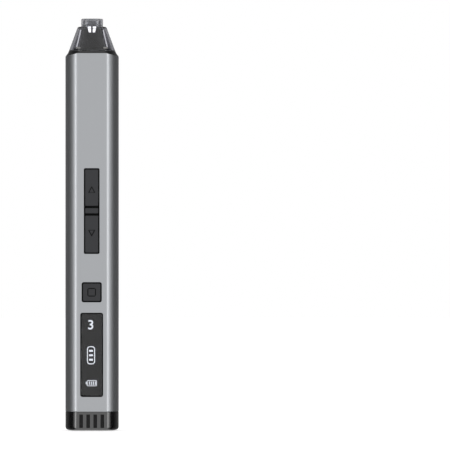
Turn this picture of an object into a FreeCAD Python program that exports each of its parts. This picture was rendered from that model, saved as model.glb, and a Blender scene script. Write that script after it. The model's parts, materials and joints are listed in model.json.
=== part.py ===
import FreeCAD, Part
import math
import os

os.makedirs("parts", exist_ok=True)

Vector = FreeCAD.Vector
Rotation = FreeCAD.Rotation
Placement = FreeCAD.Placement

# The tool stands on its tail. Z runs along the tool axis to the nose, the origin is
# the centre of the tail face on that axis, and the buttons and the display face -Y.
# All values are millimetres and degrees.

# Body section: a round tube with one flat along the front
body_diameter = 18.0
flat_depth = 1.5
flat_edge_radius = 1.5
barrel_wall = 1.0
least_edge_radius = 0.3

# Lengths along the axis, from the tail up
tail_height = 6.3
barrel_length = 121.1
collar_height = 0.6
nose_length = 10.9

# Clearances
fit_clearance = 0.15
window_clearance = 0.1
button_clearance = 0.37
running_clearance = 0.02
bush_fit = 0.02
face_gap = 0.05

# Tail cap with its charging port
tail_edge_radius = 1.2
edge_steps = 3
seam_chamfer = 0.2
spigot_length = 3.5
spigot_wall = 1.0
tail_floor = 2.0
groove_count = 4
groove_width = 1.2
groove_pitch = 2.38
groove_depth = 0.5
groove_bottom = 0.9
groove_top = 5.4
port_width = 8.94
port_thickness = 3.26
port_wall = 0.3
port_recess = 0.35
port_length = 7.25
port_margin = 0.18
tongue_width = 6.7
tongue_thickness = 0.7
tongue_recess = 0.95
charge_board_thickness = 0.8

# Openings in the barrel: width, height and centre height of each
window_width = 7.74
window_height = 28.4
window_centre = 25.5
window_corner = 0.8
button_hole = 6.8
button_hole_corner = 0.7
function_centre = 46.6
slot_width = 5.3
slot_height = 28.9
slot_centre = 73.95
slot_corner = 0.5

# Display window and panel
window_recess = 0.05
window_flange = 0.5
window_flange_thickness = 0.6
panel_width = 8.4
panel_margin = 0.3

# Push buttons, their bar and their switches
button_proud = 0.2
button_flange = 0.55
button_flange_thickness = 0.6
button_edge = 0.2
divider_height = 1.9
divider_gap = 0.6
divider_rise = 0.1
divider_post = 1.2
switch_size = 3.4
switch_height = 0.9
switch_floor = 0.15
plunger_size = 1.4
plunger_proud = 0.35
plunger_sink = 0.4
post_size = 2.0
mark_depth = 0.15
mark_line = 0.36
arrow_width = 2.7
arrow_height = 2.4
up_arrow_drop = 0.5
down_arrow_rise = 0.35
square_mark = 2.9
square_mark_corner = 0.7

# Main board, its parts and screws
board_setback = 2.2
board_thickness = 0.8
board_width = 11.6
board_start_gap = 0.5
board_end_gap = 1.5
component_height = 0.9
controller_width = 5.0
controller_length = 5.0
controller_rise = 3.5
driver_width = 4.0
driver_length = 4.0
driver_drop = 5.4
small_part_size = 0.9
small_part_height = 0.45
small_part_count = 4
small_part_pitch = 3.0
small_part_edge = 1.4
board_screw_offset = 5.0
board_screw_radius = 0.5
board_screw_length = 3.0
screw_head_radius = 0.7
screw_head_height = 0.5

# Battery and chassis
battery_length = 58.0
battery_bottom = 19.8
battery_clearance = 0.1
battery_rim = 0.4
battery_end_gap = 0.3
battery_front_room = 1.25
chassis_wall = 2.0
chassis_rail_offset = 5.0
component_room = 1.3
tab_width = 3.0
tab_thickness = 0.15
pad_width = 4.0
pad_height = 8.0
pad_end_margin = 7.6
back_opening = 6.0
lead_radius = 0.3
lead_overlap = 2.0
flex_width = 4.0
flex_thickness = 0.2
flex_overlap = 3.0

# Motor
motor_diameter = 12.0
motor_flats = 10.0
motor_length = 15.0
motor_wall = 0.4
motor_front_wall = 0.6
motor_cap_length = 1.5
motor_plug_length = 1.0
motor_lip = 0.9
motor_cap_floor = 0.6
terminal_stop = 0.5
shaft_rear_gap = 0.8
shaft_radius = 0.5
magnet_thickness = 1.3
magnet_half_angle = 48.0
magnet_overlap = 0.5
air_gap = 0.3
armature_length = 7.0
armature_bottom_gap = 3.5
armature_hub_radius = 1.5
pole_count = 3
first_pole_angle = 90.0
pole_neck = 1.8
pole_shoe = 0.8
pole_half_angle = 52.0
coil_thickness = 0.7
commutator_radius = 1.3
commutator_length = 1.9
terminal_width = 1.5
terminal_thickness = 0.3
terminal_length = 1.2
terminal_offset = 3.0

# Gearbox: three planetary stages in one toothed ring
gear_module = 0.4
sun_teeth = 9
planet_teeth = 9
pressure_angle = 25.0
addendum_factor = 0.9
dedendum_factor = 1.15
backlash = 0.05
planet_count = 3
first_planet_angle = 90.0
planet_width = 2.6
planet_pin_radius = 0.5
carrier_thickness = 1.2
carrier_margin = 0.23
stage_gap_above = 0.2
stage_gap_below = 0.3
pin_end_gap = 0.1
motor_plate_thickness = 0.8
motor_plate_hole = 1.6

# Sintered bush that carries the spindle, pressed in the gearbox cap
spindle_diameter = 6.0
bush_diameter = 9.0
bush_length = 4.0
bush_flange_diameter = 10.4
bush_flange_length = 0.8
bush_drop = 1.2
cap_floor_gap = 0.4

# Spindle with its hexagonal bit socket
socket_width = 4.05
socket_depth = 12.0
mouth_radius = 2.45
mouth_depth = 1.5
spindle_recess = 0.6
spindle_chamfer = 0.25
magnet_radius = 1.8
magnet_length = 2.0

# Nose: dark collar, translucent cone, light board and the sleeve that stands out as the tip
barrel_chamfer = 0.8
collar_taper = 0.35
collar_bore = 4.0
nose_flat_step = 0.05
nose_wall = 0.95
nose_shoulder_radius = 5.0
nose_shoulder_drop = 3.2
nose_shoulder_round = 0.8
tip_radius = 3.7
tip_length = 2.7
tip_edge = 0.45
tip_bore = 3.15
light_board_thickness = 0.6
light_board_margin = 0.2
light_count = 3
light_circle = 5.2
light_width = 1.6
light_depth = 0.8
light_height = 0.6
first_light_angle = 90.0
shroud_bulge_radius = 4.3
shroud_bulge_low = 1.4
shroud_bulge_high = 3.1

# Derived positions along the axis
body_radius = body_diameter / 2
flat_distance = body_radius - flat_depth
inner_flat = flat_distance - barrel_wall
board_front = inner_flat - board_setback
barrel_top = tail_height + barrel_length
nose_base = barrel_top + collar_height
nose_top = nose_base + nose_length
spigot_top = tail_height + spigot_length
charge_board_bottom = port_recess + port_length
charge_board_top = charge_board_bottom + charge_board_thickness
board_back = board_front - board_thickness

bush_top = barrel_top - bush_drop
bush_bottom = bush_top - bush_length
ring_top = bush_bottom - cap_floor_gap
stage_pitch = planet_width + carrier_thickness + stage_gap_above + stage_gap_below
carrier_tops = [ring_top - stage_gap_below - stage_pitch * (2 - stage) for stage in range(3)]
carrier_bottoms = [top - carrier_thickness for top in carrier_tops]
planet_tops = [bottom - stage_gap_above for bottom in carrier_bottoms]
planet_bottoms = [top - planet_width for top in planet_tops]
ring_bottom = planet_bottoms[0] - stage_gap_below
motor_front = ring_bottom - motor_plate_thickness
motor_rear = motor_front - motor_length
battery_top = battery_bottom + battery_length

# Derived sizes across the axis
ring_teeth = sun_teeth + 2 * planet_teeth
sun_pitch_radius = gear_module * sun_teeth / 2
planet_pitch_radius = gear_module * planet_teeth / 2
ring_pitch_radius = gear_module * ring_teeth / 2
planet_circle = sun_pitch_radius + planet_pitch_radius
addendum = gear_module * addendum_factor
dedendum = gear_module * dedendum_factor
tooth_width = math.pi * gear_module / 2
carrier_radius = ring_pitch_radius - addendum - carrier_margin
motor_radius = motor_diameter / 2
motor_flat = motor_flats / 2
can_inside = motor_radius - motor_wall
magnet_inner = can_inside - magnet_thickness
armature_radius = magnet_inner - air_gap
armature_bottom = motor_rear + motor_cap_length + armature_bottom_gap
armature_top = armature_bottom + armature_length
inner_inset = barrel_wall + fit_clearance
battery_back = body_radius - inner_inset - battery_clearance
battery_radius = (battery_back + board_back - battery_front_room) / 2
battery_y = battery_back - battery_radius
collar_top_radius = body_radius - barrel_chamfer - collar_taper
spindle_radius = spindle_diameter / 2
spindle_top = nose_top - spindle_recess


def save(shape, name):
    """Write one finished piece as its own file."""
    if shape.isNull() or not shape.isValid():
        raise ValueError("bad shape: " + name)
    shape.exportStep("parts/" + name + ".step")


def joined(shapes):
    """Fuse pieces that are one body of material."""
    first = shapes[0]
    whole = first.multiFuse(shapes[1:]) if len(shapes) > 1 else first
    return whole.removeSplitter()


def group(shapes):
    """Keep several loose solids together as one set."""
    return Part.makeCompound(shapes)


def cylinder(radius, bottom, top, x=0.0, y=0.0):
    """Round bar along Z."""
    return Part.makeCylinder(radius, top - bottom, Vector(x, y, bottom))


def tube(outer, inner, bottom, top):
    """Round tube along Z on the tool axis."""
    return cylinder(outer, bottom, top).cut(cylinder(inner, bottom, top))


def block(x_low, x_high, y_low, y_high, z_low, z_high):
    """Straight block between two corners."""
    corner = Vector(x_low, y_low, z_low)
    return Part.makeBox(x_high - x_low, y_high - y_low, z_high - z_low, corner)


def arc(start, middle, end):
    """Circular edge through three points."""
    return Part.Arc(start, middle, end).toShape()


def line(start, end):
    """Straight edge between two points."""
    return Part.makeLine(start, end)


def turned(points):
    """Solid of revolution about the tool axis from (radius, z) points."""
    corners = [Vector(radius, 0, z) for radius, z in points]
    face = Part.Face(Part.makePolygon(corners + corners[:1]))
    return face.revolve(Vector(0, 0, 0), Vector(0, 0, 1), 360)


def copies(shape, count, first_angle=0.0):
    """Equal copies spaced round the tool axis."""
    result = []
    for index in range(count):
        angle = first_angle + 360.0 * index / count
        turn = Placement(Vector(0, 0, 0), Rotation(Vector(0, 0, 1), angle))
        copy = shape.copy()
        copy.Placement = turn.multiply(copy.Placement)
        result.append(copy)
    return result


def section(inset, z):
    """Face of the body section, drawn in by the inset: a circle with a blended front flat."""
    radius = body_radius - inset
    flat = flat_distance - inset
    edge = max(flat_edge_radius - inset, least_edge_radius)
    centre_y = -(flat - edge)
    centre_x = math.sqrt((radius - edge) ** 2 - centre_y ** 2)
    angle = math.atan2(centre_y, centre_x)
    middle = (angle - math.pi / 2) / 2
    right = Vector(radius * math.cos(angle), radius * math.sin(angle), z)
    left = Vector(-right.x, right.y, z)
    low_right = Vector(centre_x, -flat, z)
    low_left = Vector(-centre_x, -flat, z)
    bend_x = centre_x + edge * math.cos(middle)
    bend_y = centre_y + edge * math.sin(middle)
    edges = [
        arc(right, Vector(0, radius, z), left),
        arc(left, Vector(-bend_x, bend_y, z), low_left),
        line(low_left, low_right),
        arc(low_right, Vector(bend_x, bend_y, z), right),
    ]
    return Part.Face(Part.Wire(edges))


def section_bar(inset, bottom, top):
    """Bar of the body section between two heights."""
    return section(inset, bottom).extrude(Vector(0, 0, top - bottom))


def rounded_face(width, height, corner, centre_z, y):
    """Rounded rectangle facing along Y, centred on the axis line."""
    half_x = width / 2
    half_z = height / 2
    inner_x = half_x - corner
    inner_z = half_z - corner
    cut = corner * (1 - math.sqrt(0.5))
    edges = []
    for side_x, side_z in ((1, 1), (-1, 1), (-1, -1), (1, -1)):
        on_side = Vector(side_x * half_x, y, centre_z + side_z * inner_z)
        on_end = Vector(side_x * inner_x, y, centre_z + side_z * half_z)
        bend = Vector(side_x * (half_x - cut), y, centre_z + side_z * (half_z - cut))
        start, end = (on_side, on_end) if side_x == side_z else (on_end, on_side)
        if edges:
            edges.append(line(edges[-1].lastVertex(True).Point, start))
        edges.append(arc(start, bend, end))
    edges.append(line(edges[-1].lastVertex(True).Point, edges[0].firstVertex(True).Point))
    return Part.Face(Part.Wire(edges))


def rounded_block(width, height, corner, centre_z, y_low, y_high):
    """Rounded rectangle with a depth along Y."""
    face = rounded_face(width, height, corner, centre_z, y_low)
    return face.extrude(Vector(0, y_high - y_low, 0))


def stadium_bar(width, thickness, bottom, top):
    """Bar along Z with two straight sides and two half round ends."""
    end = thickness / 2
    half = width / 2 - end
    points = [Vector(side * half, way * end, bottom) for side, way in ((1, -1), (1, 1), (-1, 1), (-1, -1))]
    edges = [
        arc(points[0], Vector(width / 2, 0, bottom), points[1]),
        line(points[1], points[2]),
        arc(points[2], Vector(-width / 2, 0, bottom), points[3]),
        line(points[3], points[0]),
    ]
    return Part.Face(Part.Wire(edges)).extrude(Vector(0, 0, top - bottom))


def outer_edges(shape, z):
    """Edges at one height that lie on the outer skin of the body."""
    found = []
    for edge in shape.Edges:
        box = edge.BoundBox
        level = abs(box.ZMin - z) < 1e-4 and abs(box.ZMax - z) < 1e-4
        middle = edge.valueAt((edge.FirstParameter + edge.LastParameter) / 2)
        reach = math.hypot(middle.x, middle.y)
        if level and (reach > body_radius - 0.01 or middle.y < -flat_distance + flat_edge_radius):
            found.append(edge)
    return found


def make_tail_cap():
    """Black end cap with a port opening, a spigot and grip grooves on its flat."""
    rings = []
    for step in range(edge_steps + 1):
        angle = math.radians(90 * step / edge_steps)
        inset = tail_edge_radius * (1 - math.sin(angle))
        rings.append(section(inset, tail_edge_radius * (1 - math.cos(angle))).OuterWire)
    end = Part.makeLoft(rings, True, True)
    shell = section_bar(0, tail_edge_radius, tail_height)
    shell = shell.makeChamfer(seam_chamfer, outer_edges(shell, tail_height))
    shell = joined([end, shell])
    spigot = section_bar(inner_inset, tail_height, spigot_top)
    cap = joined([shell, spigot])
    cap = cap.cut(section_bar(inner_inset + spigot_wall, tail_floor, spigot_top))
    opening = (port_width + 2 * port_margin, port_thickness + 2 * port_margin)
    cap = cap.cut(stadium_bar(opening[0], opening[1], 0, tail_floor))
    groove_radius = ((groove_width / 2) ** 2 + groove_depth ** 2) / (2 * groove_depth)
    groove_y = -flat_distance + groove_depth - groove_radius
    for index in range(groove_count):
        x = (index - (groove_count - 1) / 2) * groove_pitch
        cap = cap.cut(cylinder(groove_radius, groove_bottom, groove_top, x, groove_y))
    return cap


def make_barrel():
    """Drawn tube with the display window, button hole and rocker slot in its flat."""
    barrel = section_bar(0, tail_height, barrel_top)
    barrel = barrel.makeChamfer(seam_chamfer, outer_edges(barrel, tail_height))
    edge = body_radius - barrel_chamfer
    reach = body_radius + 1
    turned_edge = turned([
        (edge, barrel_top),
        (reach, barrel_top - (reach - edge)),
        (reach, barrel_top),
    ])
    barrel = barrel.cut(turned_edge)
    barrel = barrel.cut(section_bar(barrel_wall, tail_height, barrel_top))
    front = -flat_distance
    back = -inner_flat
    openings = [
        rounded_block(window_width, window_height, window_corner, window_centre, front, back),
        rounded_block(button_hole, button_hole, button_hole_corner, function_centre, front, back),
        rounded_block(slot_width, slot_height, slot_corner, slot_centre, front, back),
    ]
    for opening in openings:
        barrel = barrel.cut(opening)
    return barrel


def make_display_window():
    """Clear lens that fills its opening and rests on a flange behind the wall."""
    lens_width = window_width - 2 * window_clearance
    lens_height = window_height - 2 * window_clearance
    lens = rounded_block(
        lens_width, lens_height, window_corner - window_clearance, window_centre,
        -flat_distance + window_recess, -inner_flat,
    )
    flange = rounded_block(
        window_width + 2 * window_flange, window_height + 2 * window_flange,
        window_corner + window_flange, window_centre,
        -inner_flat, -inner_flat + window_flange_thickness,
    )
    return joined([lens, flange])


def make_display_panel():
    """Flat display module between the lens and the main board."""
    height = window_height - 2 * panel_margin
    glass_front = -inner_flat + window_flange_thickness + face_gap
    return block(
        -panel_width / 2, panel_width / 2, glass_front, -board_front,
        window_centre - height / 2, window_centre + height / 2,
    )


def triangle_bar(width, height, base_z, direction):
    """Triangle of the mark's depth behind a button face, pointing up or down from its base."""
    front = -flat_distance - button_proud
    corners = [
        Vector(width / 2, front, base_z),
        Vector(-width / 2, front, base_z),
        Vector(0, front, base_z + direction * height),
    ]
    face = Part.Face(Part.makePolygon(corners + corners[:1]))
    return face.extrude(Vector(0, mark_depth, 0))


def arrow_mark(centre_z, direction):
    """Outline triangle, as a tool that engraves a button face."""
    slope = math.atan2(arrow_height, arrow_width / 2)
    inner_width = arrow_width - 2 * mark_line / math.tan(slope / 2)
    inner_height = inner_width / 2 * math.tan(slope)
    base_z = centre_z - direction * arrow_height / 2
    outer = triangle_bar(arrow_width, arrow_height, base_z, direction)
    inner = triangle_bar(inner_width, inner_height, base_z + direction * mark_line, direction)
    return outer.cut(inner)


def square_outline():
    """Outline rounded square, as a tool that engraves the function button."""
    front = -flat_distance - button_proud
    outer = rounded_block(
        square_mark, square_mark, square_mark_corner, function_centre,
        front, front + mark_depth,
    )
    inner_size = square_mark - 2 * mark_line
    inner = rounded_block(
        inner_size, inner_size, square_mark_corner - mark_line, function_centre,
        front, front + mark_depth,
    )
    return outer.cut(inner)


def button_shape(width, z_low, z_high, corner, flange_low, flange_high, mark):
    """Cap with softened edges, a flange behind the wall and a post to its switch."""
    middle = (z_low + z_high) / 2
    front = -flat_distance - button_proud
    flange_front = -inner_flat + face_gap
    flange_back = flange_front + button_flange_thickness
    cap = rounded_block(width, z_high - z_low, corner, middle, front, flange_front)
    face_edges = [edge for edge in cap.Edges if abs(edge.BoundBox.YMax - front) < 1e-4]
    cap = cap.makeChamfer(button_edge, face_edges)
    reach = width / 2 + button_clearance + button_flange
    flange = block(-reach, reach, flange_front, flange_back, flange_low, flange_high)
    half = post_size / 2
    post_back = -switch_front() - plunger_proud
    post = block(-half, half, flange_back, post_back, middle - half, middle + half)
    return joined([cap, flange, post]).cut(mark)


def switch_front():
    """Distance from the axis to the front face of the switches, positive to the front."""
    return board_front + switch_height


def divider_low():
    """Lower edge of the fixed bar between the two rocker buttons."""
    return slot_centre + divider_rise - divider_height / 2


def divider_high():
    """Upper edge of the fixed bar between the two rocker buttons."""
    return slot_centre + divider_rise + divider_height / 2


def rocker_limits():
    """Lower and upper ends of the down button and of the up button."""
    slot_low = slot_centre - slot_height / 2
    slot_high = slot_centre + slot_height / 2
    down = (slot_low + button_clearance, divider_low() - divider_gap)
    up = (divider_high() + divider_gap, slot_high - button_clearance)
    return down, up


def make_up_button():
    """Upper rocker button with an arrow to the nose."""
    low, high = rocker_limits()[1]
    width = slot_width - 2 * button_clearance
    mark = arrow_mark((low + high) / 2 - up_arrow_drop, 1)
    far = high + button_clearance + button_flange
    return button_shape(width, low, high, slot_corner, low, far, mark)


def make_down_button():
    """Lower rocker button with an arrow to the tail."""
    low, high = rocker_limits()[0]
    width = slot_width - 2 * button_clearance
    mark = arrow_mark((low + high) / 2 + down_arrow_rise, -1)
    far = low - button_clearance - button_flange
    return button_shape(width, low, high, slot_corner, far, high, mark)


def make_function_button():
    """Square button above the display."""
    size = button_hole - 2 * button_clearance
    low = function_centre - size / 2
    high = function_centre + size / 2
    reach = button_clearance + button_flange
    return button_shape(
        size, low, high, button_hole_corner, low - reach, high + reach, square_outline(),
    )


def button_centres():
    """Heights of the three buttons, from the tail up."""
    down, up = rocker_limits()
    return {
        "function": function_centre,
        "down": (down[0] + down[1]) / 2,
        "up": (up[0] + up[1]) / 2,
    }


def make_plunger(name):
    """Square plunger of one switch, which its button pushes in."""
    half = plunger_size / 2
    tip = -switch_front() - plunger_proud
    centre = button_centres()[name]
    depth = tip + plunger_proud + plunger_sink
    return block(-half, half, tip, depth, centre - half, centre + half)


def make_tact_switches():
    """Three square switch bodies on the board, each with a well for its plunger."""
    bodies = []
    for centre in button_centres().values():
        half = switch_size / 2
        body = block(-half, half, -switch_front(), -board_front, centre - half, centre + half)
        well = plunger_size / 2 + face_gap
        floor = -board_front - switch_floor
        bodies.append(body.cut(block(
            -well, well, -switch_front(), floor, centre - well, centre + well,
        )))
    return group(bodies)


def make_button_divider():
    """Fixed bar between the rocker buttons, on a foot and a post to the board."""
    low = divider_low()
    high = divider_high()
    half = slot_width / 2 - button_clearance
    front = -flat_distance - button_proud / 2
    bar = block(-half, half, front, -inner_flat, low, high)
    foot_half = slot_width / 2 + button_flange
    foot_back = -inner_flat + button_flange_thickness
    foot = block(-foot_half, foot_half, -inner_flat, foot_back, low, high)
    post = block(
        -divider_post, divider_post, foot_back, -board_front,
        low + divider_post / 4, high - divider_post / 4,
    )
    return joined([bar, foot, post])


def board_limits():
    """Lower and upper ends of the main board."""
    return spigot_top + board_start_gap, motor_rear - motor_lip - board_end_gap


def board_screw_bars(radius, y_low, y_high):
    """Two round bars along Y at the places of the board screws, over the chassis wall."""
    height = battery_top + battery_end_gap + chassis_wall / 2
    bars = []
    for side in (-1, 1):
        start = Vector(side * board_screw_offset, y_low, height)
        bars.append(Part.makeCylinder(radius, y_high - y_low, start, Vector(0, 1, 0)))
    return bars


def make_main_board():
    """Long circuit board behind the front flat, with two screw holes."""
    low, high = board_limits()
    board = block(-board_width / 2, board_width / 2, -board_front, -board_back, low, high)
    holes = board_screw_bars(board_screw_radius + face_gap, -board_front, -board_back)
    for hole in holes:
        board = board.cut(hole)
    return board


def make_board_screws():
    """Two small screws through the board into the chassis."""
    heads = board_screw_bars(screw_head_radius, -board_front - screw_head_height, -board_front)
    shanks = board_screw_bars(board_screw_radius, -board_front, -board_front + board_screw_length)
    return group([joined([head, shank]) for head, shank in zip(heads, shanks)])


def chip(width, length, height, x, centre_z):
    """Flat rectangular part on the back of the board."""
    back = -board_back
    return block(
        x - width / 2, x + width / 2, back, back + height,
        centre_z - length / 2, centre_z + length / 2,
    )


def make_board_components():
    """Controller, motor driver and small parts on the back of the board."""
    controller_z = function_centre + controller_rise
    driver_z = battery_top - driver_drop
    parts = [
        chip(controller_width, controller_length, component_height, 0, controller_z),
        chip(driver_width, driver_length, component_height, 0, driver_z),
    ]
    column = board_width / 2 - small_part_edge
    for step in range(small_part_count):
        height = controller_z + (step - (small_part_count - 1) / 2) * small_part_pitch
        for x in (-column, column):
            parts.append(chip(small_part_size, small_part_size, small_part_height, x, height))
    return group(parts)


def make_battery_cell():
    """Round lithium cell behind the board."""
    cell = cylinder(battery_radius, battery_bottom, battery_top, 0, battery_y)
    rims = [edge for edge in cell.Edges if edge.BoundBox.ZLength < 1e-6]
    return cell.makeChamfer(battery_rim, rims)


def make_battery_tabs():
    """Nickel strips from both ends of the cell to the board."""
    half = tab_width / 2
    low = battery_bottom - tab_thickness
    high = battery_top + tab_thickness
    reach = battery_y + half
    return group([
        block(-half, half, -board_back, reach, low, battery_bottom),
        block(-half, half, -board_back, reach, battery_top, high),
    ])


def make_battery_pads():
    """Two foam pads between the board and the cell."""
    half = pad_width / 2
    hollow = cylinder(battery_radius + running_clearance, battery_bottom, battery_top, 0, battery_y)
    pads = []
    for low in (battery_bottom + pad_end_margin, battery_top - pad_end_margin - pad_height):
        pad = block(-half, half, -board_back, battery_y, low, low + pad_height)
        pads.append(pad.cut(hollow))
    return group(pads)


def motor_profile_bar(inset, bottom, top):
    """Bar of the motor's section: a circle with two flats, drawn in by the inset."""
    radius = motor_radius - inset
    flat = motor_flat - inset
    bar = cylinder(radius, bottom, top)
    return bar.common(block(-radius, radius, -flat, flat, bottom, top))


def make_chassis():
    """Moulded inner frame that holds the cell, the board and the motor."""
    bottom = spigot_top + face_gap
    bay = motor_rear - motor_lip
    frame = section_bar(inner_inset, bottom, motor_front)
    reach = body_diameter
    front = -board_back
    frame = frame.cut(block(-reach, reach, -reach, front, bottom, bay - face_gap))
    low_wall = battery_bottom - battery_end_gap - chassis_wall
    low_top = battery_bottom - battery_end_gap
    high_wall = battery_top + battery_end_gap
    high_top = high_wall + chassis_wall
    side = chassis_rail_offset
    frame = frame.cut(block(-side, side, -reach, reach, bottom, low_wall))
    frame = frame.cut(block(-side, side, -reach, reach, high_top, bay - face_gap))
    room = block(-reach, reach, front, front + component_room, low_top, high_wall)
    frame = frame.cut(room)
    half = pad_width / 2 + fit_clearance
    frame = frame.cut(block(-half, half, front, battery_y, low_top, high_wall))
    well = cylinder(battery_radius + battery_clearance, low_top, high_wall, 0, battery_y)
    frame = frame.cut(well)
    half = back_opening / 2
    frame = frame.cut(block(-half, half, battery_y, reach, low_top, high_wall))
    frame = frame.cut(motor_profile_bar(-battery_clearance, motor_rear, motor_front))
    frame = frame.cut(motor_profile_bar(motor_lip, bay - face_gap, motor_rear))
    for hole in board_screw_bars(board_screw_radius, front, front + board_screw_length):
        frame = frame.cut(hole)
    return frame


def make_charging_port():
    """Pressed shell of the charging socket, open to the tail."""
    top = charge_board_bottom
    shell = stadium_bar(port_width, port_thickness, port_recess, top)
    inside = (port_width - 2 * port_wall, port_thickness - 2 * port_wall)
    return shell.cut(stadium_bar(inside[0], inside[1], port_recess, top - port_wall))


def make_port_tongue():
    """Contact tongue in the middle of the charging socket."""
    half_x = tongue_width / 2
    half_y = tongue_thickness / 2
    low = port_recess + tongue_recess
    high = charge_board_bottom - port_wall
    return block(-half_x, half_x, -half_y, half_y, low, high)


def make_charge_board():
    """Small round board above the charging socket."""
    inset = inner_inset + spigot_wall + fit_clearance
    return section_bar(inset, charge_board_bottom, charge_board_top)


def make_charge_flex():
    """Flat flexible link from the charging board to the back of the main board."""
    half = flex_width / 2
    low = board_limits()[0]
    back = -board_back + flex_thickness
    return block(-half, half, -board_back, back, charge_board_top, low + flex_overlap)


def make_motor_leads():
    """Two wires from the back of the main board to the motor's terminals."""
    high = board_limits()[1]
    y = -board_back + lead_radius
    leads = []
    for side in (-1, 1):
        start = Vector(side * terminal_offset, y, high - lead_overlap)
        end = Vector(side * terminal_offset, 0, motor_rear - terminal_length - lead_radius)
        run = end - start
        leads.append(Part.makeCylinder(lead_radius, run.Length, start, run))
    return group(leads)


def make_motor_can():
    """Drawn steel can of the motor, open at the rear."""
    rear = motor_rear + motor_cap_length
    can = motor_profile_bar(0, rear, motor_front)
    can = can.cut(motor_profile_bar(motor_wall, rear, motor_front - motor_front_wall))
    hole = shaft_radius + running_clearance
    return can.cut(cylinder(hole, motor_front - motor_front_wall, motor_front))


def make_motor_end_cap():
    """Plastic rear cap of the motor, with a plug inside the can."""
    rim = motor_rear + motor_cap_length
    top = rim + motor_plug_length
    cap = motor_profile_bar(0, motor_rear, rim)
    plug = motor_profile_bar(motor_wall + running_clearance, rim, top)
    cap = joined([cap, plug])
    cap = cap.cut(cylinder(commutator_radius + air_gap, rim - terminal_stop, top))
    cap = cap.cut(cylinder(shaft_radius + running_clearance, motor_rear + motor_cap_floor, rim))
    half_x = terminal_thickness / 2
    half_y = terminal_width / 2
    for side in (-1, 1):
        x = side * terminal_offset
        slit = block(x - half_x, x + half_x, -half_y, half_y, motor_rear, rim - terminal_stop)
        cap = cap.cut(slit)
    return cap


def make_motor_terminals():
    """Two brass blades in the motor's end cap."""
    half_x = terminal_thickness / 2
    half_y = terminal_width / 2
    low = motor_rear - terminal_length
    high = motor_rear + motor_cap_length - terminal_stop
    blades = []
    for side in (-1, 1):
        x = side * terminal_offset
        blades.append(block(x - half_x, x + half_x, -half_y, half_y, low, high))
    return group(blades)


def sector(inner, outer, half_angle, bottom, top):
    """Part of a round tube, centred on +X."""
    angle = math.radians(half_angle)
    ends = [Vector(r * math.cos(a), r * math.sin(a), bottom) for r, a in (
        (inner, -angle), (outer, -angle), (outer, angle), (inner, angle))]
    edges = [
        line(ends[0], ends[1]),
        arc(ends[1], Vector(outer, 0, bottom), ends[2]),
        line(ends[2], ends[3]),
        arc(ends[3], Vector(inner, 0, bottom), ends[0]),
    ]
    return Part.Face(Part.Wire(edges)).extrude(Vector(0, 0, top - bottom))


def make_motor_magnets():
    """Two curved magnets inside the can."""
    outer = can_inside - running_clearance
    low = armature_bottom - magnet_overlap
    high = armature_top + magnet_overlap
    magnet = sector(magnet_inner, outer, magnet_half_angle, low, high)
    return group(copies(magnet, 2))


def make_armature():
    """Laminated core with three poles on the motor shaft."""
    low = armature_bottom
    high = armature_top
    hub = cylinder(armature_hub_radius, low, high)
    reach = armature_radius - pole_shoe / 2
    neck = block(0, reach, -pole_neck / 2, pole_neck / 2, low, high)
    shoe = sector(armature_radius - pole_shoe, armature_radius, pole_half_angle, low, high)
    core = joined([hub] + copies(joined([neck, shoe]), pole_count, first_pole_angle))
    return core.cut(cylinder(shaft_radius, low, high))


def make_rotor_windings():
    """Copper coils round the three poles, and the commutator below them."""
    half = pole_neck / 2 + face_gap
    wide = half + coil_thickness
    shoe_inside = armature_radius - pole_shoe - face_gap
    inner_x = armature_hub_radius + face_gap
    outer_x = math.sqrt(shoe_inside ** 2 - wide ** 2)
    low = armature_bottom - coil_thickness
    high = armature_top + coil_thickness
    coil = block(inner_x, outer_x, -wide, wide, low, high)
    hole = block(inner_x, outer_x, -half, half, armature_bottom - face_gap, armature_top + face_gap)
    coils = copies(coil.cut(hole), pole_count, first_pole_angle)
    top = low - face_gap
    commutator = tube(commutator_radius, shaft_radius, top - commutator_length, top)
    return group(coils + [commutator])


def involute(angle):
    """Involute function of a pressure angle in radians."""
    return math.tan(angle) - angle


def gear_face(teeth, inner_radius, outer_radius, width_at_pitch, phase, z):
    """Face inside an involute tooth outline, with a tooth centred on the phase angle.

    Each flank runs through the start, middle and tip of the involute.
    """
    pitch_radius = gear_module * teeth / 2
    pressure = math.radians(pressure_angle)
    base_radius = pitch_radius * math.cos(pressure)
    flank_start = max(base_radius, inner_radius)
    flank_middle = (flank_start + outer_radius) / 2

    def half_angle(radius):
        local = math.acos(min(1.0, base_radius / radius))
        return width_at_pitch / (2 * pitch_radius) + involute(pressure) - involute(local)

    flank = [
        (inner_radius, half_angle(flank_start)),
        (flank_middle, half_angle(flank_middle)),
        (outer_radius, half_angle(outer_radius)),
    ]
    corners = []
    for index in range(teeth):
        centre = math.radians(phase) + 2 * math.pi * index / teeth
        for radius, half in flank:
            angle = centre - half
            corners.append(Vector(radius * math.cos(angle), radius * math.sin(angle), z))
        for radius, half in reversed(flank):
            angle = centre + half
            corners.append(Vector(radius * math.cos(angle), radius * math.sin(angle), z))
    return Part.Face(Part.makePolygon(corners + corners[:1]))


def sun_gear(bottom, top):
    """Sun gear with a tooth towards the first planet."""
    face = gear_face(
        sun_teeth, sun_pitch_radius - dedendum, sun_pitch_radius + addendum,
        tooth_width - backlash, first_planet_angle, bottom,
    )
    return face.extrude(Vector(0, 0, top - bottom))


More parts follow.
